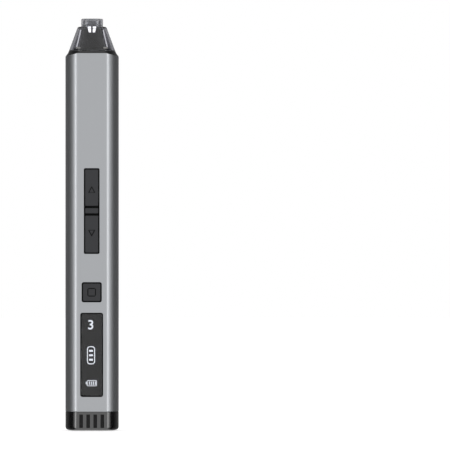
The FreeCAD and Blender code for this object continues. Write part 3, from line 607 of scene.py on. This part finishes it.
def skin(name, rings, ends=False):
    """Solid through rings of equal count: a closed loop of rings, or a stack with two end faces."""
    made = bmesh.new()
    rows = [[made.verts.new(point * 0.001) for point in ring] for ring in rings]
    pairs = list(zip(rows, rows[1:] + rows[:1]))
    for low, high in pairs[:-1] if ends else pairs:
        for index in range(len(low)):
            after = (index + 1) % len(low)
            made.faces.new((low[index], low[after], high[after], high[index]))
    if ends:
        made.faces.new(rows[0])
        made.faces.new(rows[-1])
    return shown(name, made)


def turned(name, profile, steps=4, front=0.0):
    """Turned solid from a closed (radius, z, corner radius) profile."""
    return skin(name, [circle_ring(radius, z, front) for radius, z in softened(profile, steps)])


def drawn(name, profile, steps=4):
    """Solid of the body section from a closed (inset, z, corner radius) profile."""
    return skin(name, [body_ring(inset, z) for inset, z in softened(profile, steps)])


def panel_ring(width, height, corner, centre, y):
    """Rounded rectangle facing along Y; the centre is (x, z)."""
    points = []
    for index, (side_x, side_z) in enumerate(((1, 1), (-1, 1), (-1, -1), (1, -1))):
        for step in range(corner_steps + 1):
            turn = math.pi / 2 * (index + step / corner_steps)
            points.append(Vector((
                centre[0] + side_x * (width / 2 - corner) + corner * math.cos(turn),
                y,
                centre[1] + side_z * (height / 2 - corner) + corner * math.sin(turn),
            )))
    return points


def panel(name, width, height, corner, centre, front, back):
    """Straight block of a rounded rectangle, from front to back along Y."""
    return skin(name, [panel_ring(width, height, corner, centre, y) for y in (front, back)], ends=True)


def box(name, low, high):
    """Straight block between two corners, as a tool."""
    made = bmesh.new()
    size = [high[axis] - low[axis] for axis in (X, Y, Z)]
    middle = [(high[axis] + low[axis]) / 2 for axis in (X, Y, Z)]
    place = Matrix.Translation(Vector(middle) * 0.001) @ Matrix.Diagonal([mm(side) for side in size] + [1])
    bmesh.ops.create_cube(made, size=1.0, matrix=place)
    return shown(name, made)


def dressed(made, finish_name, body, *stands_for, slot=None):
    """Give a piece its finish and its body, and hide the nodes that it stands for; the slot argument is not
    used.
    """
    made.data.materials.clear()
    made.data.materials.append(finish_for[finish_name])
    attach(made, body)
    if stands_for:
        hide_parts(*stands_for)
    return made


# What repeats: rows of blocks and bars, and a ring of rods

def started(name, sockets):
    """New Geometry Nodes tree, and its inputs: a count, the given ones and a finish."""
    tree = bpy.data.node_groups.new(name, "GeometryNodeTree")
    given = {"Geometry": "Geometry", "Count": "Int", **sockets, "Finish": "Material"}
    for label, kind in given.items():
        tree.interface.new_socket(label, in_out="INPUT", socket_type="NodeSocket" + kind)
    tree.interface.new_socket("Geometry", in_out="OUTPUT", socket_type="NodeSocketGeometry")
    return tree, put(tree, "NodeGroupInput").outputs


def centred_line(tree, given, middle):
    """Points one step apart, evenly to both sides of the middle."""
    less = put(tree, "ShaderNodeMath", {"operation": "SUBTRACT", 1: 1.0}, {0: given["Count"]})
    half = put(tree, "ShaderNodeMath", {"operation": "MULTIPLY", 1: -0.5}, {0: less.outputs[0]})
    back = put(tree, "ShaderNodeVectorMath", {"operation": "SCALE"},
               {0: given["Step"], "Scale": half.outputs[0]})
    first = put(tree, "ShaderNodeVectorMath", {"operation": "ADD"}, {0: back.outputs[0], 1: middle})
    return put(tree, "GeometryNodeMeshLine", {"mode": "OFFSET"},
               {"Count": given["Count"], "Start Location": first.outputs[0], "Offset": given["Step"]})


def round_bar(tree, foot, head, radius, sides):
    """Round bar with flat ends between two places."""
    path = put(tree, "GeometryNodeCurvePrimitiveLine", {}, {"Start": foot, "End": head})
    ring = put(tree, "GeometryNodeCurvePrimitiveCircle", {"Resolution": sides}, {"Radius": radius})
    return put(tree, "GeometryNodeCurveToMesh", {"Fill Caps": True},
               {"Curve": path.outputs["Curve"], "Profile Curve": ring.outputs["Curve"]})


def repeated(tree, given, links):
    """Put the piece on every point as real geometry with its finish, and end the tree."""
    placed = put(tree, "GeometryNodeInstanceOnPoints", {}, links)
    real = put(tree, "GeometryNodeRealizeInstances", {}, {"Geometry": placed.outputs["Instances"]})
    coated = put(tree, "GeometryNodeSetMaterial", {},
                 {"Geometry": real.outputs["Geometry"], "Material": given["Finish"]})
    put(tree, "NodeGroupOutput", {}, {"Geometry": coated.outputs["Geometry"]})
    return tree


def block_row_tree():
    """Rounded blocks in a row, centred on the given place."""
    tree, given = started("block_row", {"Step": "Vector", "Size": "Vector", "Corner": "Float",
                                        "Centre": "Vector"})
    size = put(tree, "ShaderNodeSeparateXYZ", links={0: given["Size"]})
    outline = put(tree, "GeometryNodeCurvePrimitiveQuadrilateral", {},
                  {"Width": size.outputs["X"], "Height": size.outputs["Z"]})
    bent = put(tree, "GeometryNodeFilletCurve", {"mode": "POLY", "Count": 6, "Limit Radius": True},
               {"Curve": outline.outputs["Curve"], "Radius": given["Corner"]})
    face = put(tree, "GeometryNodeFillCurve", {"mode": "NGONS"}, {"Curve": bent.outputs["Curve"]})
    raised = put(tree, "GeometryNodeExtrudeMesh", {"Individual": False},
                 {"Mesh": face.outputs["Mesh"], "Offset Scale": size.outputs["Y"]})
    under = put(tree, "GeometryNodeFlipFaces", {}, {"Mesh": face.outputs["Mesh"]})
    both = put(tree, "GeometryNodeJoinGeometry")
    tree.links.new(raised.outputs["Mesh"], both.inputs["Geometry"])
    tree.links.new(under.outputs["Mesh"], both.inputs["Geometry"])
    closed = put(tree, "GeometryNodeMergeByDistance", {"Distance": 1e-7},
                 {"Geometry": both.outputs["Geometry"]})
    upright = put(tree, "GeometryNodeTransform", {"Rotation": (math.pi / 2, 0, 0)},
                  {"Geometry": closed.outputs["Geometry"]})
    line = centred_line(tree, given, given["Centre"])
    return repeated(tree, given, {"Points": line.outputs["Mesh"], "Instance": upright.outputs["Geometry"]})


def round_row_tree():
    """Upright round bars in a row, centred on the axis."""
    tree, given = started("round_row", {"Step": "Vector", "Radius": "Float", "Low": "Float",
                                        "High": "Float", "Front": "Float"})
    low = put(tree, "ShaderNodeCombineXYZ", {}, {"Z": given["Low"]})
    high = put(tree, "ShaderNodeCombineXYZ", {}, {"Z": given["High"]})
    bar = round_bar(tree, low.outputs[0], high.outputs[0], given["Radius"], 40)
    ahead = put(tree, "ShaderNodeCombineXYZ", {}, {"Y": given["Front"]})
    line = centred_line(tree, given, ahead.outputs[0])
    return repeated(tree, given, {"Points": line.outputs["Mesh"], "Instance": bar.outputs["Mesh"]})


def rod_ring_tree():
    """Equal rods that lean inwards, evenly round the tool axis."""
    tree, given = started("rod_ring", {"Foot": "Vector", "Head": "Vector", "Radius": "Float",
                                       "Turn": "Float"})
    rod = round_bar(tree, given["Foot"], given["Head"], given["Radius"], 16)
    points = put(tree, "GeometryNodeMeshLine", {"mode": "OFFSET", "Offset": (0.0, 0.0, 0.0)},
                 {"Count": given["Count"]})
    share = put(tree, "ShaderNodeMath", {"operation": "DIVIDE", 0: 2 * math.pi}, {1: given["Count"]})
    index = put(tree, "GeometryNodeInputIndex")
    turn = put(tree, "ShaderNodeMath", {"operation": "MULTIPLY_ADD"},
               {0: index.outputs["Index"], 1: share.outputs[0], 2: given["Turn"]})
    spin = put(tree, "ShaderNodeCombineXYZ", {}, {"Z": turn.outputs[0]})
    return repeated(tree, given, {"Points": points.outputs["Mesh"], "Instance": rod.outputs["Mesh"],
                                  "Rotation": spin.outputs[0]})


block_row = block_row_tree()
round_row = round_row_tree()
rod_ring = rod_ring_tree()


def grown(name, tree, values):
    """Plain mesh object from a Geometry Nodes tree with the given inputs."""
    made = bpy.data.objects.new(name, bpy.data.meshes.new(name))
    bpy.context.scene.collection.objects.link(made)
    step = made.modifiers.new("grow", "NODES")
    step.node_group = tree
    for item in tree.interface.items_tree:
        if item.in_out == "INPUT" and item.name in values:
            step[item.identifier] = values[item.name]
    made.data.update()
    return settled(made)


def row(name, count, step, size, corner, centre, finish_name):
    """Row of rounded blocks, in millimetres; the centre's Y is the front of the blocks."""
    middle = (centre[0], centre[1] + size[1], centre[2])
    return grown(name, block_row, {
        "Count": count, "Step": [mm(v) for v in step], "Size": [mm(v) for v in size],
        "Corner": mm(corner), "Centre": [mm(v) for v in middle], "Finish": finish_for[finish_name],
    })


# Studio: white surroundings and table, a soft lamp at each side, and dark cards beside the tool.
# Angles are measured round from the camera, and places are metres.
world_strength = 0.72
table_glow = 0.45
table_radius = 3.0
table_drop = 0.0002
lamp_angle = 65
lamp_distance = 0.9
lamp_height = 0.12
lamp_width = 0.34
lamp_tall = 0.9
lamp_aim = 0.07
left_radiance = 2.3
right_radiance = 2.1
card_start = 85
card_end = 172
card_steps = 12
card_distance = 0.5
card_low = -0.5
card_high = 1.0
camera_place = (0.0449, -2.5, 0.06925)
camera_lens = 592.0


def white_to_eye(tree, lit_strength, seen_strength):
    """Strength that differs between lighting rays and rays that show the background."""
    path = put(tree, "ShaderNodeLightPath")
    seen = put(tree, "ShaderNodeMath", {"operation": "MAXIMUM"},
               {0: path.outputs["Is Camera Ray"], 1: path.outputs["Is Glossy Ray"]})
    shown_through = put(tree, "ShaderNodeMath", {"operation": "MAXIMUM"},
                        {0: seen.outputs[0], 1: path.outputs["Is Transmission Ray"]})
    return put(tree, "ShaderNodeMapRange", {"To Min": lit_strength, "To Max": seen_strength},
               {"Value": shown_through.outputs[0]}).outputs["Result"]


def build_world():
    """Even white surroundings at a plain level."""
    world = bpy.data.worlds.new("studio")
    world.use_nodes = True
    bpy.context.scene.world = world
    tree = world.node_tree
    back = tree.nodes["Background"]
    back.inputs["Color"].default_value = linear("FFFFFF")
    tree.links.new(white_to_eye(tree, world_strength, 1.0), back.inputs["Strength"])


def build_floor():
    """Matt white table that keeps the tool's soft shadow."""
    made = bpy.data.materials.new("white_table")
    made.use_nodes = True
    tree = made.node_tree
    shader = tree.nodes["Principled BSDF"]
    tuned(made, {"Base Color": linear("F4F4F4"), "Roughness": 0.9, "Specular IOR Level": 0.0,
                 "Emission Color": linear("FFFFFF")})
    tree.links.new(white_to_eye(tree, 0.0, table_glow), shader.inputs["Emission Strength"])
    disc = bmesh.new()
    bmesh.ops.create_circle(disc, cap_ends=True, segments=96, radius=table_radius)
    floor = shown("floor", disc)
    floor.location.z = -table_drop
    floor.data.materials.append(made)
    floor.visible_glossy = False


def build_lamp(name, azimuth, radiance):
    """Soft box that faces the tool."""
    data = bpy.data.lights.new(name, "AREA")
    data.shape = "RECTANGLE"
    data.size = lamp_width
    data.size_y = lamp_tall
    data.energy = radiance * math.pi * lamp_width * lamp_tall
    made = bpy.data.objects.new(name, data)
    bpy.context.scene.collection.objects.link(made)
    turn = math.radians(azimuth)
    made.location = (lamp_distance * math.sin(turn), -lamp_distance * math.cos(turn), lamp_height)
    aim = Vector((0, 0, lamp_aim)) - made.location
    made.rotation_euler = aim.to_track_quat("-Z", "Y").to_euler()


def build_card(name, side, felt):
    """Curved black card that only reflections see, for the dark edges of the metal."""
    made = bmesh.new()
    line = []
    for step in range(card_steps + 1):
        turn = math.radians(card_start + (card_end - card_start) * step / card_steps)
        x, y = side * card_distance * math.sin(turn), -card_distance * math.cos(turn)
        line.append([made.verts.new((x, y, z)) for z in (card_low, card_high)])
    for first, last in zip(line, line[1:]):
        made.faces.new((first[0], last[0], last[1], first[1]))
    card = shown(name, made)
    card.data.materials.append(felt)
    card.visible_camera = False
    card.visible_diffuse = False
    card.visible_transmission = False
    card.visible_shadow = False


def card_felt():
    """Black felt card that fades to dark grey behind the tool."""
    made = finish("felt_card", "101010", 0.9, grain=2.0, bump=0.0)
    tree = made.node_tree
    place = put(tree, "ShaderNodeTexCoord")
    parts = put(tree, "ShaderNodeSeparateXYZ", {}, {"Vector": place.outputs["Object"]})
    fade = put(tree, "ShaderNodeMapRange", {"From Min": 0.15, "From Max": 0.48, "To Min": 0.0, "To Max": 0.2},
               {"Value": parts.outputs["Y"]})
    shader = tree.nodes["Principled BSDF"]
    shader.inputs["Emission Color"].default_value = linear("FFFFFF")
    tree.links.new(fade.outputs["Result"], shader.inputs["Emission Strength"])
    return made


def build_studio():
    """World, table, lamps and cards."""
    build_world()
    build_floor()
    build_lamp("left_box", -lamp_angle, left_radiance)
    build_lamp("right_box", lamp_angle, right_radiance)
    felt = card_felt()
    build_card("card_left", -1, felt)
    build_card("card_right", 1, felt)


def build_camera():
    """Level view of the front from far away, with the tool at the left of the frame."""
    data = bpy.data.cameras.new("camera")
    made = bpy.data.objects.new("camera", data)
    bpy.context.scene.collection.objects.link(made)
    made.location = camera_place
    made.rotation_euler = (math.pi / 2, 0, 0)
    data.sensor_width = 36.0
    data.lens = camera_lens
    data.clip_end = 20.0
    bpy.context.scene.camera = made


# Pieces

def refined(node, ease, angle=35):
    """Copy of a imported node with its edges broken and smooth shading."""
    made = bmesh.new()
    made.from_mesh(nodes[node].data)
    bmesh.ops.remove_doubles(made, verts=made.verts, dist=1e-7)
    bmesh.ops.dissolve_limit(made, angle_limit=math.radians(2), verts=made.verts, edges=made.edges)
    copy = shown(node + "_finished", made)
    if ease:
        eased(copy, ease, angle=angle, segments=2)
    return smoothed(copy)


def build_barrel():
    """Extruded tube with its openings, edges broken by the tumbling before anodising."""
    made = drawn("barrel_shell", [
        (0.0, tail_top, 0.2), (0.0, barrel_top, 0.08), (wall, barrel_top, 0.05), (wall, tail_top, 0.05),
    ])
    edge = shoulder_radius
    far = body_radius + 1.2
    chamfer = turned("chamfer_tool", [
        (edge, barrel_top + 0.001, 0), (far, barrel_top - (far - edge) * shoulder_slope, 0),
        (far, barrel_top + 1, 0), (edge, barrel_top + 1, 0),
    ], front=shoulder_front)
    front = -flat_distance - 1
    back = -flat_distance + wall + 0.3
    openings = {"window_tool": window_opening, "button_tool": function_opening, "slot_tool": slot_opening}
    cut(made, [chamfer] + [panel(name, *opening, front, back) for name, opening in openings.items()])
    smoothed(eased(made, 0.06, angle=42))
    dressed(made, "anodised_aluminium", "housing", "barrel")


def build_tail_cap():
    """Moulded end cap with its rounded rim, four round-bottomed grooves and the port opening."""
    made = drawn("tail_cap_shell", [
        (floor_inset, 0.0, 0), (0.0, 0.0, 1.2), (0.0, tail_top, 0.2), (spigot_inset, tail_top, 0),
        (spigot_inset, spigot_top, 0.2), (pocket_inset, spigot_top, 0.1), (pocket_inset, pocket_floor, 0.2),
        (floor_inset, pocket_floor, 0),
    ], steps=8)
    plug = skin("floor_plug", [body_ring(floor_inset - 0.1, z) for z in (0.0, pocket_floor)], ends=True)
    cut(made, [plug], "UNION")
    opening = skin("opening_tool", [port_ring(*port_opening, z) for z in (-1.0, 4.0)], ends=True)
    cut(made, [opening, groove_bars("groove_tool", groove_radius)])
    joined_up(made)
    smoothed(eased(made, 0.07, angle=50, segments=2))
    dressed(made, "polished_black_abs", "housing", "tail_cap", slot="black_abs")


def groove_bars(name, radius):
    """Upright round bars along the middles of the end cap's grooves."""
    inward = groove_radius - radius
    return grown(name, round_row, {
        "Count": groove_count, "Step": (mm(groove_pitch), 0.0, 0.0), "Radius": mm(radius),
        "Low": mm(groove_low + inward), "High": mm(groove_high - inward),
        "Front": mm(-flat_distance + groove_depth - groove_radius),
    })


def build_groove_faces():
    """Dull lining of the grooves in the end cap."""
    lining = groove_bars("groove_lining", groove_radius - 0.005)
    front = box("front_tool", (-10, -20, 0), (10, -flat_distance + 0.03, 10))
    cut(lining, [groove_bars("inner_tool", groove_radius - 0.04), front])
    dressed(smoothed(lining), "spark_black_abs", "housing", slot="black_abs")


def port_ring(width, thickness, z):
    """Points of a bar section with two half round ends."""
    end = thickness / 2
    middle = width / 2 - end
    return (arc((middle, 0), end, -math.pi / 2, math.pi, end_steps, z)
            + arc((-middle, 0), end, math.pi / 2, math.pi, end_steps, z))


def build_charging_port():
    """Pressed port shell and its tongue with two rows of gold contacts."""
    dressed(refined("charging_port", 0.06), "nickel_strip", "housing", "charging_port")
    dressed(refined("port_tongue", 0.08), "chip_epoxy", "housing", "port_tongue")
    middle = span("port_tongue", Z)[0] + 2.0
    for name, y in (("port_contacts_front", -0.37), ("port_contacts_back", 0.33)):
        contacts = row(name, 12, (0.5, 0, 0), (0.24, 0.04, 3.0), 0.05, (0, y, middle), "brass_blade")
        dressed(contacts, "brass_blade", "housing")


def trimmed(made):
    """Cut a nose piece flush with the front flat."""
    flat_tool = box("flat_tool", (-20, -20, barrel_top - 5), (20, -flat_distance + 0.05, nose_top + 5))
    return cut(made, [flat_tool])


def build_nose():
    """Collar, smoked cone and the dark sleeve whose end is the tip."""
    ring_bore = plug_radius + 0.05
    collar = turned("collar_ring", [
        (ring_bore, barrel_top, 0), (shoulder_radius, barrel_top, 0), (cone_foot, nose_base, 0.15),
        (ring_bore, nose_base, 0.1),
    ], front=shoulder_front)
    plug = turned("plug", [
        (collar_bore, plug_foot, 0), (plug_radius, plug_foot, 0.1), (plug_radius, 127.7, 0), (5.4, 127.9, 0),
        (collar_bore, nose_base, 0.1),
    ])
    trimmed(cut(collar, [plug], "UNION"))
    smoothed(eased(collar, 0.05, angle=50))
    dressed(collar, "black_abs", "housing", "nose_collar")
    cone = turned("nose_cone_shell", [
        (cone_foot - 0.9, nose_base, 0.05), (cone_foot, nose_base, 0.1), (4.81, cone_top, 0.8),
        (cone_bore, cone_top, 0.05), (cone_bore, 135.5, 0.0), (4.2, 135.5, 0.3),
    ], steps=8)
    smoothed(eased(trimmed(cone), 0.06, angle=55))
    dressed(cone, "smoked_polycarbonate", "housing", "nose_cone")
    sleeve = turned("sleeve_tip", [
        (tip_bore, sleeve_foot, 0), (collar_bore, sleeve_foot, 0.1), (bulge_radius, 129.4, 0.5),
        (bulge_radius, 131.1, 0.5), (tip_radius, 131.7, 0.5), (tip_radius, 136.62, 0.03),
        (tip_radius - 0.12, 136.7, 0.05), (tip_radius - 0.12, 136.82, 0.05), (tip_radius, 136.9, 0.03),
        (tip_radius, nose_top, 0.4), (tip_bore, nose_top, 0.12),
    ], steps=6)
    dressed(smoothed(sleeve), "sleeve_polycarbonate", "housing", "spindle_shroud",
            slot="smoked_polycarbonate")


def build_painted_window_highlights():
    """Painted highlight: two pale panes of a window's reflection at the front of the sleeve, wider at the
    top.
    """
    low, rise, steps = 134.15, 2.0, 6
    inner, outer, spread = 0.3, 1.02, 0.38
    radius = tip_radius + 0.015
    made = bmesh.new()
    for side in (-1, 1):
        grid = []
        for up in range(steps + 1):
            share = up / steps
            width = outer + spread * share - inner
            line = []
            for step in range(steps + 1):
                x = side * (inner + width * step / steps)
                place = Vector((x, -math.sqrt(radius ** 2 - x * x), low + rise * share))
                line.append(made.verts.new(place * 0.001))
            grid.append(line)
        for below, above in zip(grid, grid[1:]):
            for step in range(steps):
                made.faces.new((below[step], below[step + 1], above[step + 1], above[step]))
    highlight_panes = shown("sleeve_painted_highlights", made)
    thick = highlight_panes.modifiers.new("thick", "SOLIDIFY")
    thick.thickness = mm(0.02)
    thick.offset = 0.0
    dressed(settled(highlight_panes), "painted_window_highlight", "housing", slot="lamp_resin")


def build_painted_glint_rods():
    """Three glowing rods along the inside of the cone: painted glints of the cone's inner wall."""
    glint_rods = grown("painted_glint_rods", rod_ring, {
        "Count": 3, "Foot": (mm(5.75), 0.0, mm(129.25)), "Head": (mm(4.1), 0.0, mm(135.0)),
        "Radius": mm(0.19), "Turn": math.pi / 2, "Finish": finish_for["painted_glint_rod"],
    })
    dressed(smoothed(glint_rods), "painted_glint_rod", "housing", slot="lamp_resin")


def build_skirt():
    """Black rim that lies on the turned chamfer of the tube."""
    drop = 0.74
    rim = turned("collar_skirt", [
        (shoulder_radius - 0.1, barrel_top + 0.02, 0), (shoulder_radius + 0.02, barrel_top + 0.02, 0),
        (shoulder_radius + drop + 0.02, barrel_top - drop * shoulder_slope, 0.05),
        (shoulder_radius + drop - 0.06, barrel_top - drop * shoulder_slope - 0.05, 0),
    ], front=shoulder_front)
    around = skin("section_tool", [body_ring(0.02, z) for z in (barrel_top - 2, barrel_top + 2)], ends=True)
    dressed(smoothed(cut(rim, [around], "INTERSECT")), "black_abs", "housing")


def build_keys():
    """The three buttons and the bar between the rocker halves, with broken edges and worn-in gaps."""
    slot_width, slot_height, _, (_, slot_z) = slot_opening
    hole_width, hole_height, _, (_, hole_z) = function_opening
    key_width = slot_width - 2 * key_clearance
    slot_reach = slot_height / 2 - key_clearance
    hole_reach = hole_height / 2 - key_clearance
    for node, body, width, low, high in (
            ("up_button", "up_key", key_width, bar_high + bar_gap, slot_z + slot_reach),
            ("down_button", "down_key", key_width, slot_z - slot_reach, bar_low - bar_gap),
            ("function_button", "function_key", hole_width - 2 * key_clearance, hole_z - hole_reach,
             hole_z + hole_reach),
            ("button_divider", "housing", key_width, bar_low, bar_high)):
        key = refined(node, 0)
        around = (width + 1, high - low + 1, 0.9, (0, (low + high) / 2))
        cut(key, [frame_panel("gap_tool", around, 0.5 + key_trim, -flat_distance - 1,
                              -flat_distance + key_foot)])
        smoothed(eased(key, 0.06, angle=25, segments=2))
        dressed(key, "button_plastic", body, node)


def build_gap_shade_strips():
    """Near-black strips at the bottom of the gaps round the keys and the lens: painted shade that darkens the
    gaps.
    """
    front, back = -flat_distance + gap_shade_front, -flat_distance + key_foot
    # Each strip paints the shade at the bottom of a gap.
    for name, seat, line, face in (
            ("slot_gap_shade", slot_opening, gap_shade_line, front),
            ("function_gap_shade", function_opening, gap_shade_line, front),
            ("lens_gap_shade", lens_seat, 0.38, -flat_distance + 0.2)):
        shade_strip = frame_panel(name, seat, line, face, back)
        dressed(smoothed(shade_strip), "gap_shade_and_mark_fill", "housing", slot="foam")
    for name, z in (("upper_bar_gap_shade", bar_high + 0.35), ("lower_bar_gap_shade", bar_low - 0.3)):
        shade_strip = box(name, (-2.3, front, z - 0.25), (2.3, back, z + 0.25))
        dressed(smoothed(eased(shade_strip, 0.04)), "gap_shade_and_mark_fill", "housing", slot="foam")


def outline_mark(name, corners, line, front, back):
    """Outline of a polygon in the front plane, of even line width."""
    centre = sum((Vector(corner) for corner in corners), Vector((0, 0))) / len(corners)
    flat = [Vector(corner) - centre for corner in corners]
    reach = min(abs(a.x * b.y - a.y * b.x) / (b - a).length for a, b in zip(flat, flat[1:] + flat[:1]))
    rings = []
    for scale, y in ((1, front), (1, back), (1 - line / reach, back), (1 - line / reach, front)):
        rings.append([Vector((centre.x + p.x * scale, y, centre.y + p.y * scale)) for p in flat])
    return skin(name, rings)


def build_marks():
    """Black fill in the engraved signs of the keys."""
    front, back = -flat_distance - 0.14, -flat_distance - 0.04
    marks = [
        ("up_mark", "up_key", [(-1.28, 79.9), (1.28, 79.9), (0, 82.3)]),
        ("down_mark", "down_key", [(-1.18, 67.5), (1.18, 67.5), (0, 65.3)]),
        ("function_mark", "function_key", [(-1.45, 45.15), (1.45, 45.15), (1.45, 48.05), (-1.45, 48.05)]),
    ]
    for name, body, corners in marks:
        mark = outline_mark(name, corners, 0.3, front, back)
        dressed(smoothed(mark), "gap_shade_and_mark_fill", body, slot="button_plastic")


def flat_text(name, body, height, x, z, y):
    """Upright figure that faces -Y, centred at (x, z)."""
    curve = bpy.data.curves.new(name, "FONT")
    curve.body = body
    curve.offset = 0.012
    curve.extrude = 0.5
    made = bpy.data.objects.new(name, curve)
    bpy.context.scene.collection.objects.link(made)
    graph = bpy.context.evaluated_depsgraph_get()
    data = bpy.data.meshes.new_from_object(made.evaluated_get(graph))
    bpy.data.objects.remove(made)
    corners = [vertex.co for vertex in data.vertices]
    low = Vector([min(c[axis] for c in corners) for axis in (X, Y, Z)])
    high = Vector([max(c[axis] for c in corners) for axis in (X, Y, Z)])
    scale = mm(height) / (high.y - low.y)
    size = Matrix.Diagonal((scale, scale, mm(sign_depth) / (high.z - low.z), 1))
    data.transform(Matrix.Translation(Vector((mm(x), mm(y), mm(z)))) @ Matrix.Rotation(math.pi / 2, 4, "X")
                   @ size @ Matrix.Translation(-(low + high) / 2))
    figure = bpy.data.objects.new(name, data)
    bpy.context.scene.collection.objects.link(figure)
    return figure


def frame_panel(name, seat, line, y_front, y_back):
    """Outline of a rounded rectangle with the given line width."""
    width, height, corner, centre = seat
    outer = panel(name, *seat, y_front, y_back)
    inner = panel(name + "_tool", width - 2 * line, height - 2 * line, max(corner - line, 0.05), centre,
                  y_front - 0.1, y_back + 0.1)
    return cut(outer, [inner])


def build_display():
    """Lens, and the lit signs on the dark panel behind it: a figure, a level gauge and a battery."""
    lens = panel("lens", 7.0, 27.66, 0.6, (0, 25.5), -flat_distance + 0.05, lens_back)
    smoothed(eased(lens, 0.15, angle=50))
    dressed(lens, "display_glass", "housing", "display_window")
    front = lens_back + sign_gap
    back = front + sign_depth
    signs = [
        flat_text("mode_figure", "3", 3.2, -0.35, 35.65, (front + back) / 2),
        frame_panel("gauge_outline", (2.7, 6.1, 1.0, (-0.25, 25.35)), 0.3, front, back),
        row("gauge_bars", 3, (0, 0, 1.5), (1.3, sign_depth, 0.62), 0.15, (-0.25, front, 25.35),
            "lit_pixels"),
        frame_panel("battery_outline", (3.3, 2.0, 0.35, (0.05, 15.95)), 0.2, front, back),
        panel("battery_nub", 0.3, 0.9, 0.1, (-1.85, 15.95), front, back),
        row("battery_bars", 4, (0.66, 0, 0), (0.3, sign_depth, 1.15), 0.05, (0.2, front, 15.95),
            "lit_pixels"),
    ]
    for sign in signs:
        dressed(sign, "lit_pixels", "housing", slot="display_module")


def build_spindle():
    """Bit holder with its hexagonal socket, edges broken."""
    dressed(refined("spindle", 0.04, angle=40), "spindle_steel", "output_spindle", "spindle")


def build_lamps_in_nose():
    """The three small lamps of the nose."""
    dressed(refined("work_lights", 0.08), "lamp_resin", "housing", "work_lights")


def finish_packed_nodes():
    """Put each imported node's finish on it by the slot that the record gives."""
    for part in frame["record"]["subparts"]:
        node = nodes[part["node"]]
        if not node.material_slots:
            node.data.materials.append(None)
        for slot in node.material_slots:
            slot.material = finish_for[other_finish.get(part["node"], part["material_slot"])]


other_finish = {"light_board": "black_solder_mask"}
finish_packed_nodes()
build_camera()
build_studio()
build_barrel()
build_tail_cap()
build_groove_faces()
build_charging_port()
build_nose()
build_painted_window_highlights()
build_painted_glint_rods()
build_skirt()
build_keys()
build_gap_shade_strips()
build_marks()
build_display()
build_spindle()
build_lamps_in_nose()

bpy.context.scene.view_settings.view_transform = "Standard"
